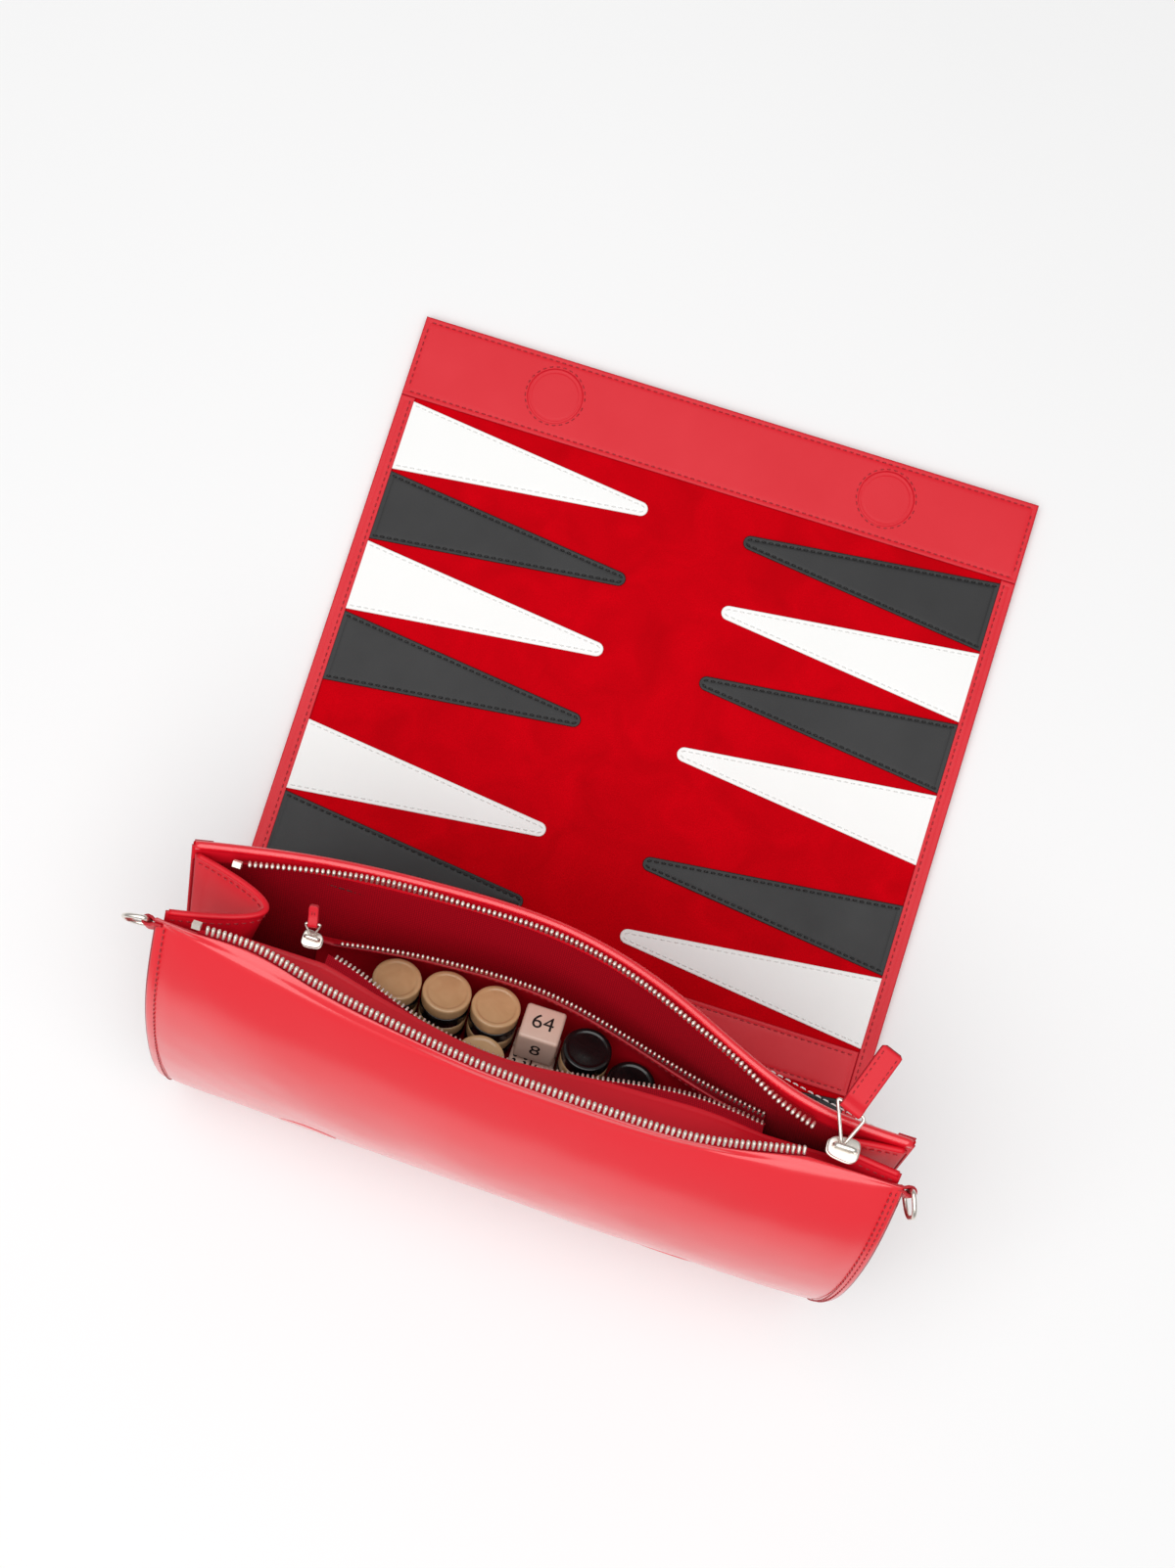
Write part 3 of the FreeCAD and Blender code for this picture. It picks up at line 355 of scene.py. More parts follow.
RED = smooth_leather("red calf leather", "DE0C24", "D4081E", "A80A1E", roughness=0.45, coat=0.05)
# A copy of the red leather painted lighter than RED: painted light for the lit front wall. The rear rolled edge and the
# front magnet rings use it too.
RED_LIGHTENED = smooth_leather("red calf leather on padding lightened as painted light", "EC0824", "E2041C", "B80A1E", roughness=0.4, coat=0.9)
RED_INSIDE = smooth_leather("red leather facing", "DC0A24", "D0061E", "A80A1E", roughness=0.5)
WHITE = smooth_leather("white calf leather", "F8F8F7", "F5F5F3", "E4E4E0", roughness=0.5, coat=0.0)
CHARCOAL = smooth_leather("charcoal calf leather", "242425", "1F1F20", "0E0E0F", roughness=0.5, coat=0.05)
SUEDE = suede_leather("red split suede", "D00010", "B8000C")
LINED = woven("red twill lining", "B4041A", "8A0212", thread=0.9)
TAPED = woven("red zip tape", "C81428", "8E0818", thread=0.8)
# The red thread is painted darker than the red leather: painted shade for the dents that the stitches sink into.
RED_THREAD_SHADED = sewing_thread("red sewing thread darkened as painted shade", "BE0A20", "8A0414")
DARK_THREAD = sewing_thread("black sewing thread", "060607", "020202")
WHITE_THREAD = sewing_thread("white sewing thread", "F2F2F0", "DEDEDB")
NICKEL = plated_metal("nickel plate", "F4EEE6", "DCD4CA", roughness=0.3)
TEETH = plated_metal("polished zip teeth", "FFF6EE", "EADFD4", roughness=0.5)
CREAM = cast_resin("cream resin", "D9B084", "C69A6C")
BLACK = cast_resin("black resin", "141214", "0A0A0A")
ROSE = cast_resin("rose ivory resin", "E8C8B8", "DDB6A4", roughness=0.3)
INK = cast_resin("black filled numerals", "101010", "060606", roughness=0.5)
EDGE_INK = smooth_leather("painted leather edge", "A01024", "8C0A1C", "7A0818", roughness=0.35)
BOARD_GREY = smooth_leather("grey board edge", "8A8078", "80766E", "70665E", roughness=0.8, coat=0.0)


# ---- Meshes ----
def make_piece(name, co, faces, material, body, replaced=(), uv=None, rim=None, slot=None, blend=None):
    """Puts vertices, in millimetres, and faces into a smooth piece that rides on a body, or on none when blend is
    given.
    """
    mesh = bpy.data.meshes.new(name)
    mesh.from_pydata((np.asarray(co) * MM).tolist(), [], faces if isinstance(faces, list) else faces.tolist())
    if uv is not None:
        layer = mesh.uv_layers.new(name="UVMap")
        corner = np.zeros(len(mesh.loops), int)
        mesh.loops.foreach_get("vertex_index", corner)
        layer.data.foreach_set("uv", (uv[corner] * MM).ravel())
    if rim is not None:
        mesh.attributes.new("rim", "FLOAT", "POINT").data.foreach_set("value", np.asarray(rim, np.float32))
    mesh.polygons.foreach_set("use_smooth", [True] * len(mesh.polygons))
    mesh.materials.append(material)
    mesh.update()
    piece = bpy.data.objects.new(name, mesh)
    bpy.context.scene.collection.objects.link(piece)
    if blend:
        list(blend)
        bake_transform(piece)
    else:
        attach(piece, body)
    if replaced:
        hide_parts(*replaced)
    return piece


def quads(ids):
    """Quads over a grid of vertex numbers, turned so that their normal is rows crossed with columns."""
    return np.stack([ids[:-1, :-1], ids[1:, :-1], ids[1:, 1:], ids[:-1, 1:]], -1).reshape(-1, 4)


def rings_of(count, sides):
    """Vertex numbers of that many rings, each one's first number repeated at its end."""
    ids = np.arange(count * sides).reshape(count, sides)
    return np.concatenate([ids, ids[:, :1]], 1)


def normals(p):
    """The direction square to a grid of points, at each of them."""
    return unit(np.cross(np.gradient(p, axis=0), np.gradient(p, axis=1)) + 1e-12)


# A ladder's close steps: they hold the rounded edge and the grooves of both kinds of seam.
NEAR = [0, 0.12, 0.35, 0.8, 1.4, POINT_SEAM_IN, STITCH_IN, 2.7, 3.4, 4.6]


def ladder(length, gap, near=NEAR):
    """Distances along a sheet: close steps near both ends, for the rounded edge and the seam, then even ones."""
    close = np.array([d for d in near if d < length * 0.45])
    count = max(3, int((length - 2 * close[-1]) / gap) + 1)
    inner = np.linspace(close[-1], length - close[-1], count)[1:-1]
    return np.concatenate([close, inner, length - close[::-1]])


def border(u, v):
    """Distance to the nearest side of a grid with those distances along it."""
    u, v = u - u[0], v - v[0]
    return np.minimum(np.minimum(u, u[-1] - u)[:, None], np.minimum(v, v[-1] - v)[None, :])


def seam_groove(depth=0.16, width=0.55, at=STITCH_IN):
    """A seam pulls the leather down along a line that far inside the edge, as a bell curve."""
    return lambda p, d: -depth * np.exp(-((d - at) / width) ** 2)


def sheet_shape(p, d, thick, edge=0.5, relief=None, towards=(0, 0, 1)):
    """A closed leather or cloth sheet on a grid p of its middle: both faces stand half the thickness off it,
    and come together along a quarter circle where the border distance d is under the edge radius.
    relief adds height to the face that looks towards the given direction."""
    if np.mean(normals(p) @ np.asarray(towards, float)) < 0:
        p, d = p[:, ::-1], d[:, ::-1]
    n = normals(p)
    lift = thick / 2 * np.sqrt(1 - (1 - np.clip(d / edge, 0, 1)) ** 2)
    top = lift + (relief(p, d) * np.clip(d / edge, 0, 1) if relief else 0)
    nu, nv = d.shape
    upper = np.arange(nu * nv).reshape(nu, nv)
    lower = upper.copy()
    lower[1:-1, 1:-1] = nu * nv + np.arange((nu - 2) * (nv - 2)).reshape(nu - 2, nv - 2)
    inner = (slice(1, -1), slice(1, -1))
    co = np.concatenate([(p + n * top[..., None]).reshape(-1, 3), (p - n * lift[..., None])[inner].reshape(-1, 3)])
    across = np.cumsum(np.linalg.norm(np.diff(p, axis=0, prepend=p[:1]), axis=-1), axis=0)
    along = np.cumsum(np.linalg.norm(np.diff(p, axis=1, prepend=p[:, :1]), axis=-1), axis=1)
    uv = np.stack([across, along], -1)
    rim = np.clip(1 - d / (edge * 0.9), 0, 1)
    return {"co": co, "faces": np.concatenate([quads(upper), quads(lower)[:, ::-1]]),
            "uv": np.concatenate([uv.reshape(-1, 2), uv[inner].reshape(-1, 2)]),
            "rim": np.concatenate([rim.ravel(), rim[inner].ravel()])}


def gather(shapes):
    """Several shapes as one: each one's faces count on from the vertices before it."""
    starts = np.cumsum([0] + [len(shape["co"]) for shape in shapes[:-1]])
    together = {key: np.concatenate([shape[key] for shape in shapes]) for key in ("co", "uv", "rim")}
    together["faces"] = np.concatenate([shape["faces"] + start for shape, start in zip(shapes, starts)])
    return together


def sheet(name, p, d, thick, material, body, replaced=(), edge=0.5, relief=None, towards=(0, 0, 1), **more):
    """One sheet as a piece of its own: sheet_shape says what its measures are."""
    return make_piece(name, material=material, body=body, replaced=replaced,
                      **sheet_shape(p, d, thick, edge, relief, towards), **more)


def flat_grid(x0, x1, y0, y1, z, gap):
    """A flat grid: its steps in x and y are a ladder's, and z is the same all over."""
    u, v = ladder(x1 - x0, gap), ladder(y1 - y0, gap)
    x, y = np.meshgrid(x0 + u, y0 + v, indexing="ij")
    return np.stack([x, y, np.full_like(x, z)], -1), border(u, v)


def stitches(name, lines, material, body, pitch=STITCH_PITCH, length=2.2, radius=0.3, **more):
    """Threads of a seam: along each line, every pitch, a bowed thread whose round section thins to its ends
    and whose middle stands out of the leather. lines holds pairs of a path and the way up from it."""
    rings, sides = 6, 6
    s = np.linspace(-1, 1, rings)
    angle = np.arange(sides) * 2 * math.pi / sides
    thin = radius * np.sqrt(np.clip(1 - s ** 4, 0.02, 1))
    bow = radius * (0.35 - 1.1 * s ** 4)
    spots, runs, ups = [], [], []
    for path, up in lines:
        walked = walk(path)
        count = max(1, int((walked[-1] - length) / pitch) + 1)
        at = walked[-1] / 2 + (np.arange(count) - (count - 1) / 2) * pitch
        spots.append(at_distance(at, walked, path))
        runs.append(unit(at_distance(at + 0.3, walked, path) - at_distance(at - 0.3, walked, path)))
        ups.append(at_distance(at, walked, np.broadcast_to(np.asarray(up, float), path.shape)))
    spot, run, up = (np.concatenate(k)[:, None, None, :] for k in (spots, runs, ups))
    side = unit(np.cross(run, up))
    up = np.cross(side, run)
    co = (spot + run * (s * length / 2)[None, :, None, None] + up * bow[None, :, None, None]
          + side * (thin[:, None] * np.cos(angle))[None, :, :, None]
          + up * (thin[:, None] * np.sin(angle))[None, :, :, None])
    caps = np.array([[0, 1, 2, 3], [0, 3, 4, 5]])
    one = np.concatenate([quads(rings_of(rings, sides)), caps, (rings - 1) * sides + caps[:, ::-1]])
    faces = (one[None] + (np.arange(len(spot)) * rings * sides)[:, None, None]).reshape(-1, 4)
    return make_piece(name, co.reshape(-1, 3), faces, material, body, **more)


def tube(name, path, radius, material, body, replaced=(), closed=False, sides=14, plane=None, squeeze=1.0, **more):
    """Round wire or piping: a circle carried along a path, its frame square to the path and to one direction."""
    if closed:
        run = unit(np.roll(path, -1, 0) - np.roll(path, 1, 0))
    else:
        run = unit(np.gradient(path, axis=0))
    plane = np.broadcast_to(np.asarray(plane, float), path.shape)
    side = unit(np.cross(run, plane))
    up = np.cross(side, run)
    angle = np.arange(sides) * 2 * math.pi / sides
    radii = np.broadcast_to(np.asarray(radius, float), (len(path),))[:, None, None]
    co = path[:, None] + radii * (side[:, None] * np.cos(angle)[:, None]
                                  + squeeze * up[:, None] * np.sin(angle)[:, None])
    ids = rings_of(len(path), sides)
    if closed:
        ids = np.concatenate([ids, ids[:1]], 0)
        return make_piece(name, co.reshape(-1, 3), quads(ids), material, body, replaced, **more)
    faces = quads(ids).tolist() + [ids[0, :-1].tolist(), ids[-1, :-1][::-1].tolist()]
    return make_piece(name, co.reshape(-1, 3), faces, material, body, replaced, **more)


def rounded_path(corners, bend, steps=7):
    """Straight runs round a loop whose corners are cut back by bend and joined by a parabola drawn towards
    the corner."""
    corners = np.asarray(corners, float)
    before, after = np.roll(corners, 1, 0), np.roll(corners, -1, 0)
    t = np.linspace(0, 1, steps)[:, None]
    out = []
    for a, b, c in zip(before, corners, after):
        cut = min(bend, 0.48 * np.linalg.norm(a - b), 0.48 * np.linalg.norm(c - b))
        p, q = b + unit(a - b) * cut, b + unit(c - b) * cut
        out.append((1 - t) ** 2 * p + 2 * t * (1 - t) * b + t ** 2 * q)
    return np.concatenate(out)


# ---- The flat board: flap and back panel ----
TOP = FACE + LAYER


def point_grid(side, middle, z):
    """One backgammon point: its half width shrinks evenly from the base to a round tip. Across it, the steps
    near both edges keep their true distance from the edge, so the seam's groove follows the slanted sides."""
    base, run, half = side * (HALF - EDGE_STRIP + POINT_TUCK), POINT_LENGTH - TIP_RADIUS, POINT_BASE / 2
    turn = math.atan2(half, run) - math.asin(TIP_RADIUS / math.hypot(run, half))
    touch = run + TIP_RADIUS * math.sin(turn)
    round_off = np.linspace(turn, math.radians(88), 9)[1:]
    along = ladder(touch * 2, 2.4)
    along = np.concatenate([along[along < touch - 0.5], [touch], run + TIP_RADIUS * np.sin(round_off)])
    beyond = np.clip(along - run, 0, TIP_RADIUS)
    width = np.where(along <= touch, half + (TIP_RADIUS * math.cos(turn) - half) * along / touch,
                     np.sqrt(np.maximum(TIP_RADIUS ** 2 - beyond ** 2, 0)))
    across = ladder(POINT_BASE, 1.6)
    near = np.minimum(across, POINT_BASE - across)
    close = NEAR[-1]
    shrink = np.minimum(1, width * 0.9 / close)[:, None]
    rest = (width[:, None] - close * shrink) / (half - close)
    local = np.where(near <= close, near * shrink, close * shrink + (near - close) * rest)
    y = np.where(across < half, local - width[:, None], width[:, None] - local)
    x = np.broadcast_to(along[:, None], y.shape)
    d = np.minimum(local * math.cos(turn), x)
    d = np.where(x > run, np.minimum(d, np.maximum(TIP_RADIUS - np.hypot(x - run, y), 0)), d)
    return np.stack([base - side * x, middle + y, np.full_like(y, z)], -1), d


def point_seam(side, middle, inset=POINT_SEAM_IN):
    """The line of a point's seam: its outline moved inwards by the inset."""
    base, run, half = HALF - EDGE_STRIP + POINT_TUCK, POINT_LENGTH - TIP_RADIUS, POINT_BASE / 2
    turn = math.atan2(half, run) - math.asin(TIP_RADIUS / math.hypot(run, half))
    small = TIP_RADIUS - inset
    arc = np.linspace(-math.pi / 2 + turn, math.pi / 2 - turn, 12)
    x = np.concatenate([[1.2], run + small * np.cos(arc), [1.2]])
    y = np.concatenate([[-half + inset / math.cos(turn)], small * np.sin(arc), [half - inset / math.cos(turn)]])
    return np.stack([side * (base - x), middle + y], -1)


def flat_seam(x0, y0, x1, y1, z=TOP):
    """A straight seam on the flat board, as a path and the way up from it."""
    t = np.linspace(0, 1, 60)[:, None]
    return np.array([x0, y0, z]) * (1 - t) + np.array([x1, y1, z]) * t, (0, 0, 1)


def points_of(prefix, body, middles, place, towards):
    """The light and the dark points of one panel and their seams. place turns flat points into the panel's."""
    for dark in (False, True):
        made, lines = [], []
        for i, middle in enumerate(middles):
            for side in (-1, 1):
                if ((i % 2 == 1) == (side < 0)) != dark:
                    continue
                p, d = point_grid(side, middle, 0.0)
                groove = seam_groove(0.2 if dark else 0.1, 0.6, POINT_SEAM_IN)
                made.append(sheet_shape(place(p, FACE + LAYER / 2), d, LAYER, 0.4, groove, towards))
                flat = point_seam(side, middle)
                line = place(flat, TOP)
                lines.append((line, place(flat, TOP + 1) - line))
        kind = "dark" if dark else "light"
        make_piece(f"{prefix}_{kind}_points_sewn", material=CHARCOAL if dark else WHITE, body=body,
                   replaced=[f"{prefix}_{kind}_points"], slot="charcoal_leather" if dark else "white_leather",
                   **gather(made))
        stitches(f"{prefix}_{kind}_point_seams", lines, DARK_THREAD if dark else WHITE_THREAD, body, pitch=3.3,
                 length=2.6, radius=0.46 if dark else 0.3)


def on_board(p, z):
    """Lays a flat pattern on the board at a height."""
    return np.stack([p[..., 0], p[..., 1], np.full(p.shape[:-1], float(z))], -1)


TOP_FOLD = ("back", "flap", (0, BACK_HALF * MM, 0), (0, FLAP_START * MM, 0))
p, d = flat_grid(-HALF, HALF, -BACK_HALF, FLAP_END, LEATHER / 2, 3.0)
sheet("board_outer_skin", p, d, LEATHER, RED, None, ["back_outer_leather", "top_fold_leather", "flap_outer_leather"],
      towards=(0, 0, -1), relief=lambda q, e: 0.05 * ripple(q[..., 0], q[..., 1], 60, 3), slot="red_leather",
      blend=TOP_FOLD)
p, d = flat_grid(-HALF, HALF, -BACK_HALF, FLAP_END, 2.2, 3.0)
sheet("board_suede_face", p, d, 1.8, SUEDE, None, ["back_suede", "top_fold_suede", "flap_suede"], edge=0.4,
      relief=lambda q, e: 0.07 * ripple(q[..., 0], q[..., 1], 45, 5), slot="red_suede", blend=TOP_FOLD)
for body, y0, y1 in (("flap", FLAP_START + 0.2, FLAP_END - 2), ("back", -BACK_HALF, BACK_HALF - 0.2)):
    p, d = flat_grid(-HALF + 2, HALF - 2, y0, y1, 1.25, 30.0)
    sheet(f"{body}_core", p, d, 0.08, BOARD_GREY, body, [f"{body}_stiffener"], edge=0.04, slot="board_stiffener")
made, lines = [], []
for side in (-1, 1):
    x0, x1 = sorted((side * HALF, side * (HALF - EDGE_STRIP)))
    p, d = flat_grid(x0, x1, -BACK_HALF, FLAP_END - END_BAND, FACE + LAYER / 2, 2.6)
    made.append(sheet_shape(p, d, LAYER, relief=seam_groove()))
    seam_x = side * (HALF - EDGE_STRIP + 2.0)
    lines.append(flat_seam(seam_x, 1 - BACK_HALF, seam_x, FLAP_END - END_BAND - 1))
make_piece("board_edge_strips_sewn", material=RED, body=None, replaced=["back_edge_strips", "flap_edge_strips"],
           slot="red_leather", blend=TOP_FOLD, **gather(made))
stitches("board_strip_seams", lines, RED_THREAD_SHADED, None, blend=TOP_FOLD)
FLAP_MIDDLES = [FLAP_END - END_BAND - BAND_GAP - (i + 0.5) * POINT_PITCH for i in range(4)]
BACK_MIDDLES = [s * (BAR / 2 + BAR_GAP) + s * k * POINT_PITCH for s, k in ((1, 1.5), (1, 0.5), (-1, 0.5), (-1, 1.5))]
points_of("flap", "flap", FLAP_MIDDLES, on_board, (0, 0, 1))
points_of("back", "back", BACK_MIDDLES, on_board, (0, 0, 1))


def disc_patch(name, place, radius, grooves, material, body, thick=0.08, towards=(0, 0, 1)):
    """A round patch on a surface: rings of points about its middle, with grooves at the given radii.
    place turns (across, along) offsets in millimetres into points a little above the surface."""
    r = np.unique(np.concatenate([np.linspace(0.4, radius, 14)] + [g + np.array([-0.9, -0.5, -0.25, 0, 0.25, 0.5, 0.9])
                                                                     for g, _ in grooves]))
    r = r[r <= radius]
    angle = np.linspace(0, 2 * math.pi, 73)[:-1]
    a, b = r[:, None] * np.cos(angle), r[:, None] * np.sin(angle)
    p = place(a, b)
    n = unit(np.cross(place(a, b + 0.5) - p, place(a + 0.5, b) - p))
    n = n * np.sign(np.sum(n * np.asarray(towards, float), axis=-1, keepdims=True))
    lift = thick * np.clip((radius - r) / 0.8, 0, 1)[:, None]
    for g, depth in grooves:
        lift = lift - depth * np.exp(-((r - g) / 0.3) ** 2)[:, None]
    top, under = p + n * lift[..., None], p - n * 0.3
    count, ids = len(r) * len(angle), rings_of(len(r), len(angle))
    co = np.concatenate([top.reshape(-1, 3), under.reshape(-1, 3)])
    faces = quads(ids).tolist() + (quads(ids)[:, ::-1] + count).tolist()
    wall = np.stack([ids[-1, :-1], ids[-1, :-1] + count, ids[-1, 1:] + count, ids[-1, 1:]], -1)
    faces += wall.tolist() + [ids[0, :-1][::-1].tolist(), (ids[0, :-1] + count).tolist()]
    piece = make_piece(name, co, faces, material, body)
    fix_normals(piece)
    return piece


def fix_normals(piece):
    """Turns a closed mesh's faces outwards after its doubles are merged."""
    held = bmesh.new()
    held.from_mesh(piece.data)
    bmesh.ops.remove_doubles(held, verts=held.verts, dist=1e-6)
    bmesh.ops.recalc_face_normals(held, faces=held.faces)
    held.to_mesh(piece.data)
    held.free()


# The band at the flap's free end, with the two magnets felt and sewn round under its leather.
p, d = flat_grid(-HALF, HALF, FLAP_END - END_BAND, FLAP_END, FACE + LAYER / 2, 4.0)
sheet("flap_end_band_sewn", p, d, LAYER, RED, "flap", ["flap_end_band"], relief=seam_groove(), slot="red_leather")
e = STITCH_IN
band_lines = [flat_seam(-HALF + e, FLAP_END - e, HALF - e, FLAP_END - e),
              flat_seam(-HALF + e, FLAP_END - END_BAND + e, HALF - e, FLAP_END - END_BAND + e)]
band_lines += [flat_seam(s * (HALF - e), FLAP_END - END_BAND + e + 2, s * (HALF - e), FLAP_END - e - 2)
               for s in (-1, 1)]
ring = np.linspace(0, 2 * math.pi, 120)
for s in (-1, 1):
    circle = np.stack([s * MAGNET_X + 14.0 * np.cos(ring), MAGNET_Y + 14.0 * np.sin(ring), np.full(120, TOP)], -1)
    band_lines.append((circle, (0, 0, 1)))
    disc_patch(f"flap_magnet_ring_{'left' if s < 0 else 'right'}",
               lambda a, b, s=s: np.stack([s * MAGNET_X + a, MAGNET_Y + b, np.full_like(a, TOP)], -1),
               13.2, [(11.5, 0.32)], RED, "flap")
stitches("flap_band_seams", band_lines, RED_THREAD_SHADED, "flap")

# The centre bar, sewn along both sides.
p, d = flat_grid(-HALF + EDGE_STRIP, HALF - EDGE_STRIP, -BAR / 2, BAR / 2, FACE + LAYER / 2, 3.0)
sheet("centre_bar_sewn", p, d, LAYER, RED, "back", ["centre_bar"], relief=seam_groove(), slot="red_leather")
stitches("centre_bar_seams", [flat_seam(-141, s * (BAR / 2 - e), 141, s * (BAR / 2 - e)) for s in (-1, 1)],
         RED_THREAD_SHADED, "back")


# ---- The bottom fold, an arc from the back panel to the pouch ----
def fold_sheet(name, surface, length, thick, material, bodies, start, end, replaced, towards, relief=None):
    """A supple strip between two panels: its middle runs over the fold's length, and it rides on neither panel."""
    u, v = ladder(2 * HALF, 8.0), np.linspace(0, length, 19)
    x, s = np.meshgrid(-HALF + u, v, indexing="ij")
    d = np.minimum(u, 2 * HALF - u)[:, None] * np.ones_like(s)
    d[:, 0] = d[:, -1] = 0
    return sheet(name, surface(x, s), d, thick, material, None, replaced, edge=0.35, relief=relief, towards=towards,
                 blend=(*bodies, start, end))


def bottom_arc(offset):
    """The bottom fold: an arc from the back panel's end, at a radius that grows with the layer's depth."""
    def surface(x, s):
        """The point at x whose distance along the fold is s."""
        a = s / FOLD_LENGTH * FOLD_TURN
        r = FOLD_RADIUS + offset
        return np.stack([x, -BACK_HALF - r * np.sin(a), FACE / 2 + FOLD_RADIUS - r * np.cos(a)], -1)
    return surface


BOTTOM_FOLD = (("back", "pouch"), (0, -BACK_HALF * MM, 0.0), (0, REAR_Y * MM, REAR_Z * MM))
for name, offset, mat, old, way, thick, slot_name in (
        ("bottom_fold_skin", 0.95, RED, "bottom_fold_leather", (0, -1, -0.2), 1.2, "red_leather"),
        ("bottom_fold_suede_face", -0.6, SUEDE, "bottom_fold_suede", (0, 1, 0.2), 1.8, "red_suede")):
    made = fold_sheet(name, bottom_arc(offset), FOLD_LENGTH, thick, mat, *BOTTOM_FOLD, [old], way)


# ---- The rear wall of the pouch ----
def wall_grid(surface, x0, x1, a0, a1, length, gap=4.0):
    """A grid on a wall: a ladder across it and a ladder over its length, given to the surface as x and share."""
    u, v = ladder(x1 - x0, gap), ladder(length, gap)
    x, s = np.meshgrid(x0 + u, a0 + (a1 - a0) * v / v[-1], indexing="ij")
    return surface(x, s), border(u, v)


OUT, IN = (0, 0.65, -0.75), (0, -0.65, 0.75)
p, d = wall_grid(lambda x, s: rear_at(x, s, 0.95), -HALF, HALF, 0.8, REAR_HEIGHT, 141)
sheet("pouch_rear_skin", p, d, LEATHER, RED, "pouch", ["pouch_rear_leather"], towards=IN, slot="red_leather")
p, d = wall_grid(lambda x, s: rear_at(x, s, -0.6), -HALF, HALF, 0.8, REAR_HEIGHT, 141)
sheet("pouch_rear_suede_face", p, d, 1.85, SUEDE, "pouch", ["pouch_rear_suede"], towards=OUT, slot="red_suede",
      relief=lambda q, e: 0.06 * ripple(q[..., 0], q[..., 1], 45, 6))
p, d = wall_grid(lambda x, s: rear_at(x, s, 1.95), -HALF + 1, HALF - 1, 4.0, REAR_HEIGHT - 7, 131)
sheet("pouch_rear_lining_cloth", p, d, LINING, LINED, "pouch", ["pouch_rear_lining"], towards=IN, slot="red_lining",
      relief=lambda q, e: 0.15 * ripple(q[..., 0], q[..., 2], 35, 7))


def on_rear(p, z):
    """Lays a flat pattern, measured up from the bottom fold in its Y, on the rear wall's playing face."""
    return rear_at(p[..., 0], p[..., 1], -(z - FACE / 2 + 0.1))


REAR_MIDDLES = [(i + 0.5) * POINT_PITCH + 0.8 for i in range(4)]
points_of("pouch", "pouch", REAR_MIDDLES, on_rear, OUT)
made, lines = [], []
for side in (-1, 1):
    x0, x1 = sorted((side * HALF, side * (HALF - EDGE_STRIP)))
    p, d = wall_grid(lambda x, s: on_rear(np.stack([x, s], -1), FACE + LAYER / 2), x0, x1, 0.8, REAR_HEIGHT, 141)
    made.append(sheet_shape(p, d, LAYER, relief=seam_groove(), towards=OUT))
    s = np.linspace(3, REAR_HEIGHT - 3, 90)
    flat = np.stack([np.full_like(s, side * (HALF - EDGE_STRIP + 2.0)), s], -1)
    lines.append((on_rear(flat, TOP), on_rear(flat, TOP + 1) - on_rear(flat, TOP)))
make_piece("pouch_edge_strips_sewn", material=RED, body="pouch", replaced=["pouch_edge_strips"], slot="red_leather",
           **gather(made))
stitches("pouch_strip_seams", lines, RED_THREAD_SHADED, "pouch")
x = np.linspace(-HALF + 1, HALF - 1, 120)
tube("pouch_rear_rolled_edge", rear_at(x, REAR_HEIGHT - 1.0, 0.0), 1.9, RED_LIGHTENED, "pouch", plane=(0, 0.6, -0.8))

# ---- The front wall of the pouch ----
LIP_STEP = 0.955


def front_swell(q, e):
    """The padded wall swells between its seams, pulls in at them, and is a little uneven, as soft leather is."""
    return (0.9 * (1 - np.exp(-e / 9.0)) - 0.35 * np.exp(-((e - 4.0) / 0.8) ** 2)
            + 0.25 * ripple(q[..., 0], q[..., 2], 55, 11) + 0.08 * ripple(q[..., 0], q[..., 2], 18, 12))


def front_skin():
    """The front wall's leather with its turned-over lip: at each x the wall's profile, then a parabola that
    leaves it along its own slope and ends just short of the outer zip's teeth, above the tape."""
    wall, lip = FRONT_WALL, 9.0
    u, v = ladder(2 * HALF, 3.0), ladder(2 * wall, 3.0)
    v = np.concatenate([v[v < wall - 1.5], wall + np.linspace(0, lip, 13)[:-4], wall + lip - np.array(NEAR[3::-1])])
    x = -HALF + u
    low, t = v[v < wall - 0.1], ((v[v >= wall - 0.1] - wall) / lip)[None, :, None]
    side, step = np.meshgrid(x, low / wall * LIP_STEP, indexing="ij")
    start = front_at(x, LIP_STEP, LEATHER / 2)
    slope = unit(start - front_at(x, LIP_STEP - 0.01, LEATHER / 2))
    row = row_at(LINES["front"], x)
    across = unit(row - ANCHORS["front"](x))
    up = unit(np.cross([1.0, 0, 0], across))
    end = row - across * 1.7 + up * np.sign(up[:, 2:]) * 1.0
    middle = start + slope * (0.62 * np.linalg.norm(end - start, axis=1))[:, None]
    turned_in = (1 - t) ** 2 * start[:, None] + 2 * t * (1 - t) * middle[:, None] + t ** 2 * end[:, None]
    return np.concatenate([front_at(side, step, LEATHER / 2), turned_in], 1), border(u, v)


p, d = front_skin()
front = sheet("pouch_front_skin", p, d, LEATHER, RED_LIGHTENED, "pouch", ["pouch_front_leather", "pouch_front_padding"],
              towards=(0, -1, 0.3), relief=front_swell, slot="red_leather", edge=0.6)
p, d = wall_grid(lambda x, s: front_at(x, s, 3.4), -HALF + 1.5, HALF - 1.5, 0.05, 0.93, 135)
sheet("pouch_front_lining_cloth", p, d, LINING, LINED, "pouch", ["pouch_front_lining"], towards=(0, 1, 0),
      relief=lambda q, e: 0.15 * ripple(q[..., 0], q[..., 2], 35, 8), slot="red_lining")
seams = []
for side in (-1, 1):
    s = np.linspace(0.02, 0.955, 90)
    for inset in (4.0,) if side < 0 else (4.0, 2.0):
        line = front_at(side * (HALF - inset), s, -0.55 if inset > 3 else -0.3)
        seams.append((line, line - front_at(side * (HALF - inset), s, 0.7)))
stitches("pouch_side_seams", seams, RED_THREAD_SHADED, "pouch", pitch=3.0, length=2.1)
s = np.linspace(0.0, LIP_STEP, 90)
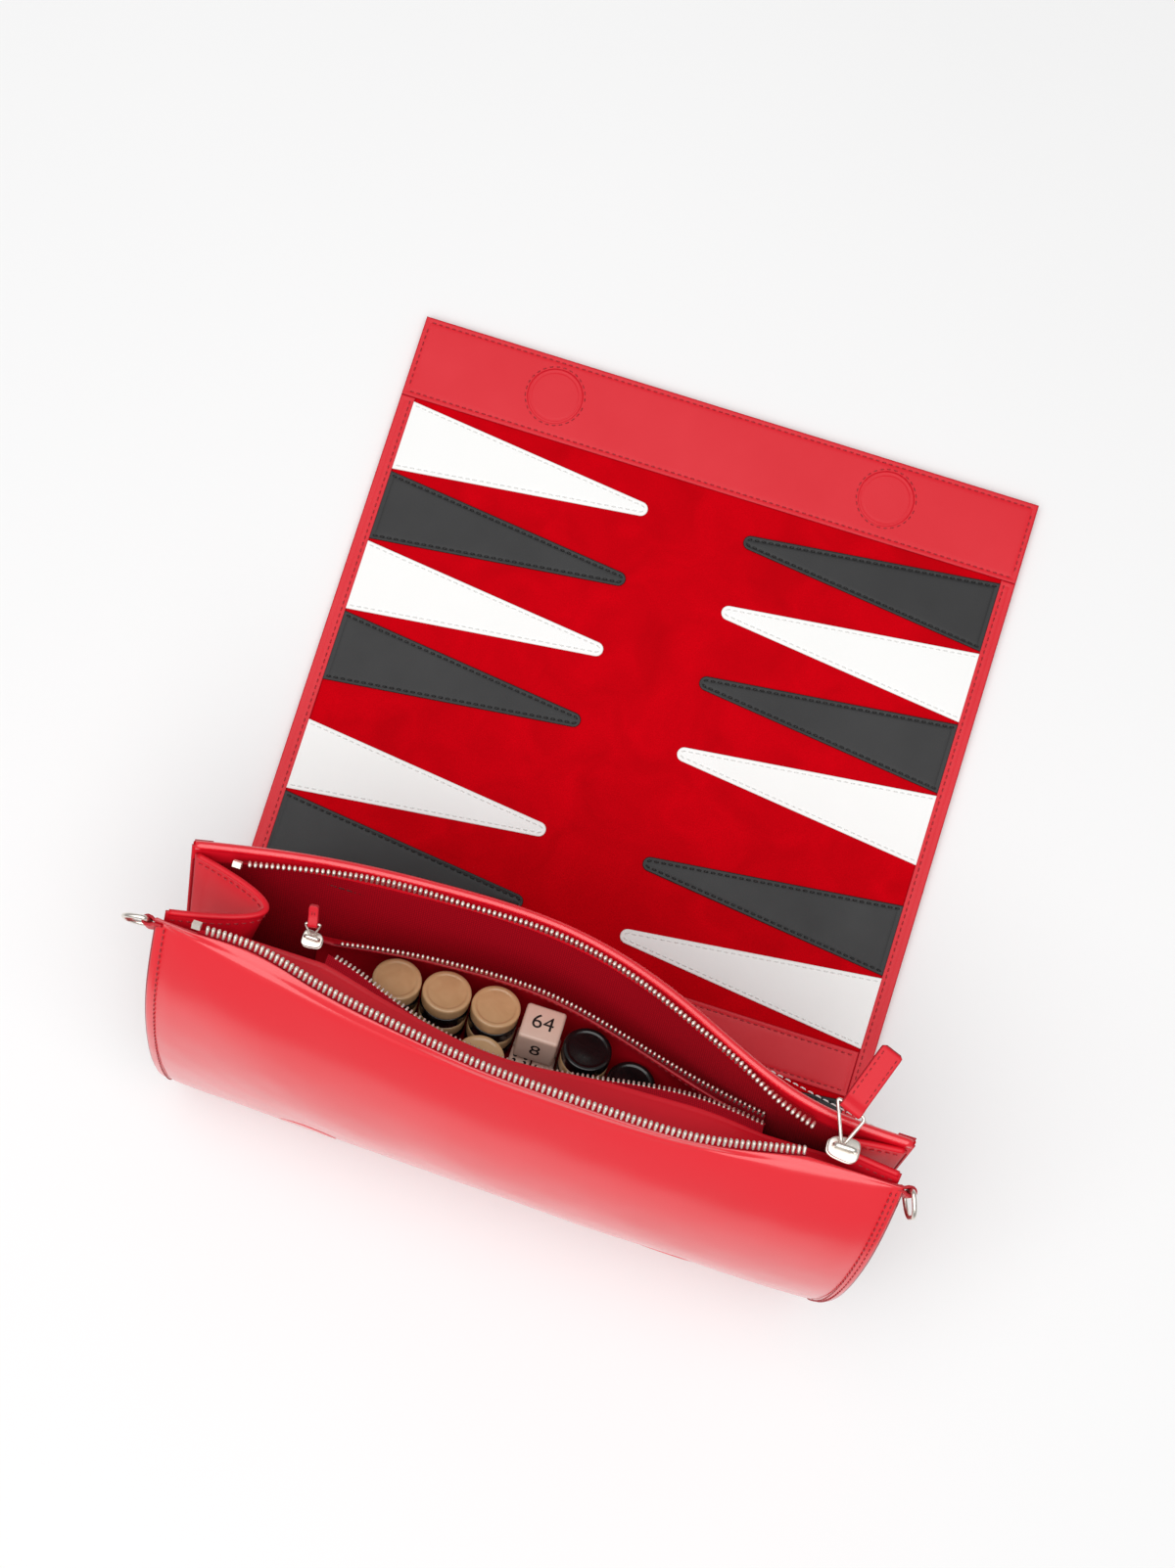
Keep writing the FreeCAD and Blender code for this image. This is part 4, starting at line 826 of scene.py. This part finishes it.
for side, word in ((-1, "left"), (1, "right")):
    tube(f"pouch_front_{word}_piping", front_at(side * (HALF - 0.6), s, 1.4), 1.25, EDGE_INK, "pouch", plane=(1, 0, 0))
    disc_patch(f"pouch_magnet_ring_{word}",
               lambda a, b, side=side: front_at(side * MAGNET_X + a, 0.17 + b / FRONT_WALL, -0.98), 13.0, [(11.5, 0.2)],
               RED_LIGHTENED, "pouch", towards=(0, -1, 0))


# ---- Side gussets, folded inwards, with a turned and sewn mouth edge ----
def gusset_at(side, t, v):
    """A side gusset: a straight line from the front wall to the rear wall, pushed inwards by a rounded V whose
    depth grows to the mouth. t goes across it and v up it."""
    t, v = np.broadcast_arrays(np.asarray(t, float), np.asarray(v, float))
    x = side * (HALF - 2.0)
    front = front_at(x, 0.06 + 0.93 * v, 3.6)
    rear = rear_at(x, 6.0 + (REAR_HEIGHT - 9.0) * v, FACE / 2 + 1.0)
    depth = 2.0 + (33.0 if side < 0 else 26.0) * v
    fold = (1 - np.abs(2 * t - 1) ** 1.9) * depth
    at = front * (1 - t)[..., None] + rear * t[..., None]
    at[..., 0] -= side * fold
    return at


for side, word in ((-1, "left"), (1, "right")):
    t, v = ladder(60, 1.6) / 60, ladder(130, 4.0) / 130
    tt, vv = np.meshgrid(t, v, indexing="ij")
    sheet(f"{word}_gusset_skin", gusset_at(side, tt, vv), border(t * 60, v * 130), LEATHER, RED_INSIDE, "pouch",
          [f"{word}_gusset"], towards=(side, 0, 0), relief=seam_groove(0.15, 0.6, 3.4), slot="red_leather")
    t = np.linspace(0.01, 0.99, 80)
    tube(f"{word}_gusset_binding", gusset_at(side, t, np.full(80, 0.995)), 1.25, RED, "pouch", plane=(0, 0.4, 0.9))
    line = gusset_at(side, t, np.full(80, 0.972))
    out = unit(np.cross(np.gradient(line, axis=0), gusset_at(side, t, np.full(80, 1.0)) - line))
    out = out * np.sign(out[40, 0] * side)
    stitches(f"{word}_gusset_seam", [(line + out * 0.6, out), (line - out * 0.6, -out)], RED_THREAD_SHADED, "pouch", pitch=3.0)

# ---- The inner pocket ----
p, d = wall_grid(lambda x, s: pocket_rear_at(x, s, 0.4), -96, 97, 0.0, 1.0, 62)
sheet("pocket_rear_cloth", p, d, 0.8, RED_INSIDE, "pouch", ["pocket_rear_wall"], towards=IN, slot="red_lining")
p, d = wall_grid(lambda x, s: pocket_rear_at(x, s, 1.0), -94, 95, 0.84, 1.0, 9.0, gap=2.0)
sheet("pocket_rear_lip", p, d, 1.3, RED_INSIDE, "pouch", towards=IN, relief=seam_groove(0.2, 0.5, 2.3), edge=0.65)
x = np.linspace(-92, 93, 100)
line = pocket_rear_at(x, 0.875, 1.62)
stitches("pocket_lip_seam", [(line, line - pocket_rear_at(x, 0.875, 0.4))], RED_THREAD_SHADED, "pouch")
p, d = wall_grid(lambda x, s: front_at(x, s, 4.6), -96, 97, 0.5, 0.91, 62)
sheet("pocket_front_cloth", p, d, 0.8, LINED, "pouch", ["pocket_front_wall"], towards=(0, 1, 0), slot="red_lining")


# CAD solids that stay shown, with their looks. The pocket's floor carries no UV map, so it shows no weave.
NODE_LOOKS = {"pocket_floor": LINED, "outer_zip_top_stops": TEETH,
              "flap_magnets": NICKEL, "pouch_front_magnets": NICKEL}
for name, look in NODE_LOOKS.items():
    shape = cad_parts[name].data
    shape.materials.clear()
    shape.materials.append(look)


def between(name, root, edge, x0, x1, thick, material, replaced=(), sag=0.0, gap=2.0, relief=None, slot=None):
    """A band from an anchor line to a line near a zip's row, hanging down between them by a parabola."""
    u = ladder(x1 - x0, gap)
    x = x0 + u
    a, b = root(x), edge(x)
    width = float(np.mean(np.linalg.norm(b - a, axis=1)))
    v = ladder(width, 1.2)
    s = (v / width)[None, :, None]
    p = a[:, None] * (1 - s) + b[:, None] * s
    p[..., 2] -= sag * (4 * s * (1 - s))[..., 0]
    return sheet(name, p, border(u, v), thick, material, "pouch", replaced, edge=thick / 2, relief=relief, slot=slot)


def short_of(line, anchor, gap):
    """The row's line moved back towards its anchor."""
    def edge(x):
        """The moved line's point at x."""
        at = row_at(LINES[line], x)
        return at + unit(ANCHORS[anchor](x) - at) * gap
    return edge


def facing_edge(x):
    """The facing's free edge: short of the inner zip's row at its ends, and lying over it in the middle, by a
    flat-topped bell curve."""
    over = np.exp(-((x + 8.0) / 52.0) ** 4)[:, None]
    at = row_at(LINES["inner_front"], x)
    return at + unit(ANCHORS["inner_front"](x) - at) * (4.6 - 5.8 * over) + np.array([0, 0, 2.0]) * over


between("front_facing_leather", ANCHORS["inner_front"], facing_edge, -122.0, 124.0,
        0.9, RED_INSIDE, ["front_facing"], sag=1.2, relief=seam_groove(0.12, 0.5), slot="red_leather")
for word in ("front", "rear"):
    between(f"outer_{word}_tape_woven", ANCHORS[word], short_of(word, word, 0.05), *TAPE_ENDS, TAPE, TAPED,
            [f"outer_zip_{word}_tape"], slot="red_tape")
between("inner_front_tape_woven", short_of("inner_front", "inner_front", 4.8),
        short_of("inner_front", "inner_front", 0.05), *INNER_TAPE_ENDS, TAPE, TAPED, ["inner_zip_front_tape"],
        slot="red_tape")
between("inner_rear_tape_woven", ANCHORS["inner_rear"], short_of("inner_rear", "inner_rear", 0.05), *INNER_TAPE_ENDS,
        TAPE, TAPED, ["inner_zip_rear_tape"], slot="red_tape")


def zip_teeth(name, key, pitch, size, replaced):
    """A row of cast teeth. Each is an oval section carried from the tape's cord to a rounded head, wider at the
    head; every tooth stands square to the row, its length towards the other row."""
    line = LINES[key]
    walked = walk(line)
    at = np.arange(2 * pitch, walked[-1] - 1e-6, pitch)
    spot = at_distance(at, walked, line)
    run = unit(at_distance(at + 0.5, walked, line) - at_distance(at - 0.5, walked, line))
    across = unit(spot - ANCHORS[key](spot[:, 0]))
    across = unit(across - run * np.sum(run * across, 1, keepdims=True))
    up = np.cross(run, across)
    wide, deep, thick = size
    s = np.array([-0.55, -0.5, 0.0, 0.55, 0.85, 1.0])
    w = np.array([0.55, 0.9, 0.92, 1.0, 0.9, 0.5]) * wide / 2
    h = np.array([0.8, 1.15, 1.0, 1.0, 0.9, 0.5]) * thick / 2
    rings, sides = len(s), 8
    angle = np.arange(sides) * math.pi / 4 + math.pi / 8
    co = (spot[:, None, None] + across[:, None, None] * (s * deep)[:, None, None]
          + run[:, None, None] * (w[:, None] * 1.08 * np.cos(angle))[..., None]
          + up[:, None, None] * (h[:, None] * 1.08 * np.sin(angle))[..., None])
    caps = np.array([[0, 1, 2, 3], [0, 3, 4, 7], [4, 5, 6, 7]])
    one = np.concatenate([quads(rings_of(rings, sides))[:, ::-1], caps, (rings - 1) * sides + caps[:, ::-1]])
    faces = (one[None] + (np.arange(len(spot)) * rings * sides)[:, None, None]).reshape(-1, 4)
    piece = make_piece(name, co.reshape(-1, 3), faces, TEETH, "pouch", [replaced], slot="silver_metal")
    fix_normals(piece)
    return piece


for word in ("front", "rear"):
    zip_teeth(f"outer_{word}_teeth", word, 2.2, (1.4, 2.1, 2.1), f"outer_zip_{word}_teeth")
    zip_teeth(f"inner_{word}_teeth", f"inner_{word}", 2.0, (1.05, 1.5, 1.5), f"inner_zip_{word}_teeth")


# ---- Pullers and strap rings ----
X_AXIS = np.array([1.0, 0, 0])


def folded_leather(name, body, at, side, lie, width, length, wire, material, thread, replaced, turn_in=1.4, thick=1.1):
    """A leather strip folded round a wire and sewn to itself: its middle runs along one leg, round the wire and
    back along the other leg, and its outer corners are cut to quarter circles."""
    side, lie = unit(side), unit(lie)
    up = np.cross(side, lie)
    leg, reach = thick / 2 + 0.04, wire + thick / 2 + 0.12
    turn = np.linspace(math.pi / 2, 3 * math.pi / 2, 15)
    straight = np.linspace(length, 4.0, 26)
    bulge = np.array([leg * 1.25, reach * 0.9])
    along = np.concatenate([straight, [2.6, 1.3], reach * np.cos(turn), [1.3, 2.6], straight[::-1]])
    lift = np.concatenate([np.full(26, leg), bulge, reach * np.sin(turn), -bulge[::-1], np.full(26, -leg)])
    past = np.clip(along - (length - turn_in), 0, turn_in)
    half = width / 2 - (turn_in - np.sqrt(np.maximum(turn_in ** 2 - past ** 2, 0)))
    v = ladder(width, 1.0)
    share = (v / width - 0.5)[None, :, None]
    path = at + lie * along[:, None] + up * lift[:, None]
    p = path[:, None] + side * (share * 2) * half[:, None, None]
    piece = sheet(name, p, border(walk(path), v), thick, material, body, replaced, edge=0.45, towards=up)
    fix_normals(piece)
    inset, z = 1.5, thick + 0.04
    s = np.linspace(3.2, length - inset, 40)[:, None]
    lines = []
    for way in (-1, 1):
        for k in (-1, 1):
            lines.append((at + lie * s + side * k * (width / 2 - inset) + up * way * z, up * way))
    stitches(f"{name}_seam", lines, thread, body, pitch=2.6, length=1.9, radius=0.24)
    return piece


def slider_body(name, at, up, run, size, room, body, replaced):
    """A die-cast zip slider: two plates whose outline is a superellipse that narrows towards the tail and whose
    edges are rounded by an inset over their height, a post between them at the nose, and an arched bridge."""
    up, run = unit(up), unit(run)
    across = unit(np.cross(up, run))
    run = np.cross(across, up)
    length, width, height = size
    plate = (height - room) / 2
    rings, sides = 6, 48
    turn = np.arange(sides) * 2 * math.pi / sides
    a = np.sign(np.cos(turn)) * np.abs(np.cos(turn)) ** 0.6
    b = np.sign(np.sin(turn)) * np.abs(np.sin(turn)) ** 0.6 * (1 + 0.16 * a)
    parts, faces, count = [], [], 0
    for low, tall, reach, wide, shift in (
            (room / 2, plate, length / 2, width / 2, 0), (-height / 2, plate, length / 2, width / 2, 0),
            (-room / 2 - 0.1, room + 0.2, length * 0.1, width * 0.14, length * 0.3)):
        rise = np.array([0, 0.06, 0.2, 0.8, 0.94, 1]) * tall + low
        inset = 1 - np.array([0.1, 0.03, 0, 0, 0.03, 0.1])
        ring = (run * (shift + a * reach)[:, None] + across * (b * wide)[:, None])
        parts.append((at + ring[None] * inset[:, None, None] + up * rise[:, None, None]
                      + run * (shift * (1 - inset))[:, None, None]).reshape(-1, 3))
        ids = rings_of(rings, sides) + count
        faces += quads(ids)[:, ::-1].tolist() + [ids[0, :-1][::-1].tolist(), ids[-1, :-1].tolist()]
        count += rings * sides
    piece = make_piece(name, np.concatenate(parts), faces, NICKEL, body, [replaced], slot="silver_metal")
    fix_normals(piece)
    foot, top = 0.36 * length, height / 2 + 3.9 * length / 12
    arch = rounded_path([at + run * x + up * z for x, z in ((-foot, height / 2 - 0.4), (-foot, top), (foot, top),
                                                            (foot, height / 2 - 0.4))], 0.2 * length)
    start = len(arch) // 8
    tube(f"{name}_bridge", arch[start:-start], 0.6 * (length / 12) ** 0.5, NICKEL, body, plane=across, squeeze=1.6)


slider_body("outer_slider_cast", SLIDER_AT, SLIDER_UP, X_AXIS, (12, 8.4, 5.2), 2.8, "outer_slider", "outer_slider")
slider_body("inner_slider_cast", INNER_SLIDER_AT, SLIDER_UP, -X_AXIS, (8, 6.4, 4), 2.0, "inner_slider", "inner_slider")
up = unit(SLIDER_UP)
eye = SLIDER_AT + np.array([-1.2, 0, 0]) + up * (2.6 + 0.65 + 0.35)
lie, tab_lie = unit([-0.06, 0.985, 0.12]), unit([0.345, 0.936, -0.09])
across = unit([1, -0.345 / 0.936, 0])
far = eye + lie * 15.0
link = rounded_path([eye, far - across * 6.5, far + across * 6.5], 1.8)
tube("outer_pull_wire", link, 0.65, NICKEL, "outer_pull_link", ["outer_pull_link"], closed=True,
     plane=np.cross(across, lie), slot="silver_metal")
folded_leather("outer_pull_leather", "outer_pull_tab", far, across, tab_lie, 9.0, 26.6, 0.65, RED, RED_THREAD_SHADED,
               ["outer_pull_tab"])
eye = INNER_SLIDER_AT + up * (2.0 + 0.5 + 0.35)
lie, across = unit([-0.15, 0.88, 0.45]), unit([1, 0.15 / 0.88, 0])
far = eye + lie * 6.4
tube("inner_pull_wire", rounded_path([eye, far - across * 3.2, far + across * 3.2], 1.2), 0.5, NICKEL,
     "inner_pull_ring", ["inner_pull_ring"], closed=True, plane=np.cross(across, lie), slot="silver_metal")
folded_leather("inner_pull_leather", "inner_pull_tab", far, across, lie, 4.0, 8.2, 0.5, RED_INSIDE, RED_THREAD_SHADED,
               ["inner_pull_tab"], thick=0.9)

for side, word, bar, out in ((-1, "left", [-153, -20.5, 131.5], [-1, -0.12, 0.02]),
                             (1, "right", [153, -30.5, 134.5], [0.35, -0.93, 0.19])):
    bar, out, up = np.array(bar, float), unit(out), unit([0, 0.2, 0.98])
    half, deep = 7.2, 9.45
    shape = [(-1.0, 0), (1.0, 0), (1.0, 0.4), (0.86, 0.76), (0.5, 1.0), (-0.5, 1.0), (-0.86, 0.76), (-1.0, 0.4)]
    corners = np.array([bar + up * (half * a) + out * (deep * b) for a, b in shape])
    tube(f"{word}_strap_ring", rounded_path(corners, 1.6), 0.95, NICKEL, f"{word}_d_ring", [f"{word}_d_ring"],
         closed=True, plane=np.cross(up, out), sides=18, slot="silver_metal")
    folded_leather(f"{word}_ring_leather", "pouch", bar, up, [-side, 0, 0], 9.0, 6.0, 0.95, RED, RED_THREAD_SHADED,
                   [f"{word}_ring_loop"], turn_in=0.6, thick=1.2)


# ---- Game pieces ----
def turned(profile, spots, x_axis, z_axis, segments=40):
    """Turned pieces: a profile of (radius, height) spun about its axis, once at each spot."""
    angle = np.arange(segments) * 2 * math.pi / segments
    y_axis = np.cross(z_axis, x_axis)
    r, z = profile[:, 0], profile[:, 1]
    one = (r[:, None, None] * (np.cos(angle)[:, None] * x_axis + np.sin(angle)[:, None] * y_axis)
           + z[:, None, None] * z_axis)
    co = np.asarray(spots)[:, None, None] + one[None]
    ids = rings_of(len(r), segments)
    faces = []
    for k in range(len(spots)):
        base = k * len(r) * segments
        faces += (quads(ids)[:, ::-1] + base).tolist()
        faces += [(ids[0, :-1] + base).tolist(), (ids[-1, :-1][::-1] + base).tolist()]
    return co.reshape(-1, 3), faces


CHECKER = np.array([(0.6, 2.5), (4.0, 2.5), (7.3, 2.5), (7.8, 2.6), (8.2, 2.95), (8.6, 3.1), (9.2, 3.1), (9.65, 2.95),
                    (9.9, 2.65), (10.0, 2.3)])
CHECKER = np.concatenate([CHECKER, [(10.0, 0.8), (10.0, -0.8)], CHECKER[::-1] * [1, -1]])
spots = {"L": [], "D": [], "top": []}
for k, (x0, forward, drop, colours) in enumerate(STACKS):
    for i, colour in enumerate(colours):
        spot = STACK_TOP + [x0, 0, 0] + STACK_ACROSS * forward - STACK_UP * (drop + i * 6.4)
        spots["top" if k == LIFTED_STACK and i == 0 else colour].append(spot)
for key, name, look, old, body, slot_name in (
        ("L", "light_checkers_turned", CREAM, "light_checkers", "pouch", "cream_resin"),
        ("D", "dark_checkers_turned", BLACK, "dark_checkers", "pouch", "black_resin"),
        ("top", "loose_light_checker", CREAM, "top_light_checker", "top_checker", "cream_resin")):
    co, faces = turned(CHECKER, spots[key], X_AXIS, STACK_UP)
    fix_normals(make_piece(name, co, faces, look, body, [old], slot=slot_name))


def rounded_box(size, radius, spots, count=9):
    """Cubes with rounded edges: grids on six faces, each point held inside a smaller cube and then pushed out
    from it by the radius."""
    half = size / 2
    t = np.concatenate([-half + np.linspace(0, radius, 5), np.linspace(-half + radius, half - radius, count)[1:-1],
                        half - np.linspace(radius, 0, 5)])
    a, b = np.meshgrid(t, t, indexing="ij")
    sides = []
    for axis in range(3):
        for sign in (-1, 1):
            p = np.zeros((*a.shape, 3))
            p[..., axis], p[..., (axis + 1) % 3], p[..., (axis + 2) % 3] = sign * half, a, b
            sides.append(p)
    p = np.stack(sides)
    core = np.clip(p, -half + radius, half - radius)
    p = core + radius * unit(p - core)
    turn = np.stack([X_AXIS, -STACK_ACROSS, STACK_UP])
    p = p @ turn
    n = len(t)
    ids = quads(np.arange(n * n).reshape(n, n))
    faces = np.concatenate([ids + k * n * n for k in range(6)])
    co = np.concatenate([(p + spot).reshape(-1, 3) for spot in spots])
    return co, np.concatenate([faces + k * 6 * n * n for k in range(len(spots))])


fix_normals(make_piece("doubling_cube_moulded", *rounded_box(CUBE, 1.4, [CUBE_AT]), ROSE, "doubling_cube",
                       ["doubling_cube"], slot="ivory_resin"))
dice_at = [STACK_TOP + [x0, 0, 0] + STACK_ACROSS * forward - STACK_UP * 18.8
           for x0, forward in ((-2.4, -0.6), (7.2, -0.6), (-2.4, 9.0), (7.2, 9.0))]
fix_normals(make_piece("dice_moulded", *rounded_box(DIE, 1.0, dice_at, 5), ROSE, "pouch", ["dice"], slot="ivory_resin"))
PIP = np.array([(0.2, 0.05), (0.6, 0.04), (0.85, 0.0), (0.85, -0.2), (0.2, -0.2)])
PIPS = {5: [(-1, -1), (-1, 1), (0, 0), (1, -1), (1, 1)], 3: [(-1, -1), (0, 0), (1, 1)], 2: [(-1, 1), (1, -1)],
        6: [(-1, -1), (-1, 0), (-1, 1), (1, -1), (1, 0), (1, 1)]}
pip_at = [c + STACK_UP * 4.5 + X_AXIS * a * 2.2 + STACK_ACROSS * b * 2.2
          for c, n in zip(dice_at, (5, 3, 6, 2)) for a, b in PIPS[n]]
co, faces = turned(PIP, pip_at, X_AXIS, STACK_UP, 14)
fix_normals(make_piece("dice_pips", co, faces, INK, "pouch"))


def placed(axes, at):
    """A matrix that turns X, Y and Z into three axes and moves the origin to a place."""
    return Matrix(np.column_stack([*axes, at]).tolist() + [[0, 0, 0, 1]])


def numeral(text, normal, up_way):
    """A number on one face of the doubling cube, as thin filled strokes standing just proud of it."""
    curve = bpy.data.curves.new("numeral", "FONT")
    curve.body, curve.size, curve.extrude = text, 9.5 * MM, 0.06 * MM
    curve.align_x, curve.align_y = "CENTER", "CENTER"
    made = bpy.data.objects.new("numeral", curve)
    bpy.context.scene.collection.objects.link(made)
    bpy.context.view_layer.update()
    mesh = bpy.data.meshes.new_from_object(made.evaluated_get(bpy.context.evaluated_depsgraph_get()))
    bpy.data.objects.remove(made)
    mesh.transform(placed((np.cross(up_way, normal), up_way, normal), (CUBE_AT + normal * (CUBE / 2)) * MM))
    mesh.materials.clear()
    mesh.materials.append(INK)
    piece = bpy.data.objects.new(f"numeral_{text}", mesh)
    bpy.context.scene.collection.objects.link(piece)
    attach(piece, "doubling_cube")


for text, normal, up_way in (
        ("64", STACK_UP, -STACK_ACROSS), ("8", STACK_ACROSS, STACK_UP), ("2", -STACK_UP, STACK_ACROSS),
        ("4", -STACK_ACROSS, STACK_UP), ("16", X_AXIS, STACK_UP), ("32", -X_AXIS, STACK_UP)):
    numeral(text, normal, up_way)

# ---- Floor, light and camera ----
floor_mesh = bpy.data.meshes.new("floor")
FLOOR_HALF, FLOOR_Z = 4, -0.0006            # metres
floor_mesh.from_pydata([(FLOOR_HALF * a, FLOOR_HALF * b, FLOOR_Z) for a, b in ((-1, -1), (1, -1), (1, 1), (-1, 1))], [],
                       [(0, 1, 2, 3)])
floor = bpy.data.objects.new("floor", floor_mesh)
bpy.context.scene.collection.objects.link(floor)
material, tree, out, place = new_material("pale paper floor")
mottle = add(tree, "TexNoise", {"Vector": place.outputs["Object"], "Scale": 3.0})
finish_material(tree, out, mix_colours(tree, mottle.outputs["Fac"], "F6F6F6", "F3F3F3"), 0.9, None)
floor_mesh.materials.append(material)

world = bpy.data.worlds.new("studio")
world.use_nodes = True
world.node_tree.nodes["Background"].inputs["Color"].default_value = (1, 1, 1, 1)
world.node_tree.nodes["Background"].inputs["Strength"].default_value = 0.3
bpy.context.scene.world = world


def soft_light(name, at, aim, size, energy):
    """A rectangular soft box at a place, looking at a point."""
    light = bpy.data.lights.new(name, "AREA")
    light.shape, light.size, light.size_y, light.energy = "RECTANGLE", size[0], size[1], energy
    held = bpy.data.objects.new(name, light)
    way = unit(np.array(at) - np.array(aim))
    right = unit(np.cross([0, 0, 1], way))
    held.matrix_world = placed((right, np.cross(way, right), way), at)
    bpy.context.scene.collection.objects.link(held)


soft_light("overhead soft box", (-0.1, -0.25, 1.75), (0, 0.0, 0.05), (2.6, 2.6), 42)

camera = bpy.data.cameras.new("camera")
camera.sensor_fit, camera.sensor_width, camera.lens = "AUTO", 36.0, 39.37
camera.clip_start, camera.clip_end = 0.01, 20
held = bpy.data.objects.new("camera", camera)
PITCH, YAW, ROLL = 0.0783088851, -0.00257751119, 0.305874244
rx, ry, rz = (Matrix.Rotation(a, 4, k) for a, k in ((PITCH, "X"), (YAW, "Y"), (ROLL, "Z")))
held.matrix_world = Matrix.Translation((0.00500685, 0.0305741, 0.790764)) @ rz @ ry @ rx
bpy.context.scene.collection.objects.link(held)
bpy.context.scene.camera = held
bpy.context.scene.view_settings.view_transform = "Standard"
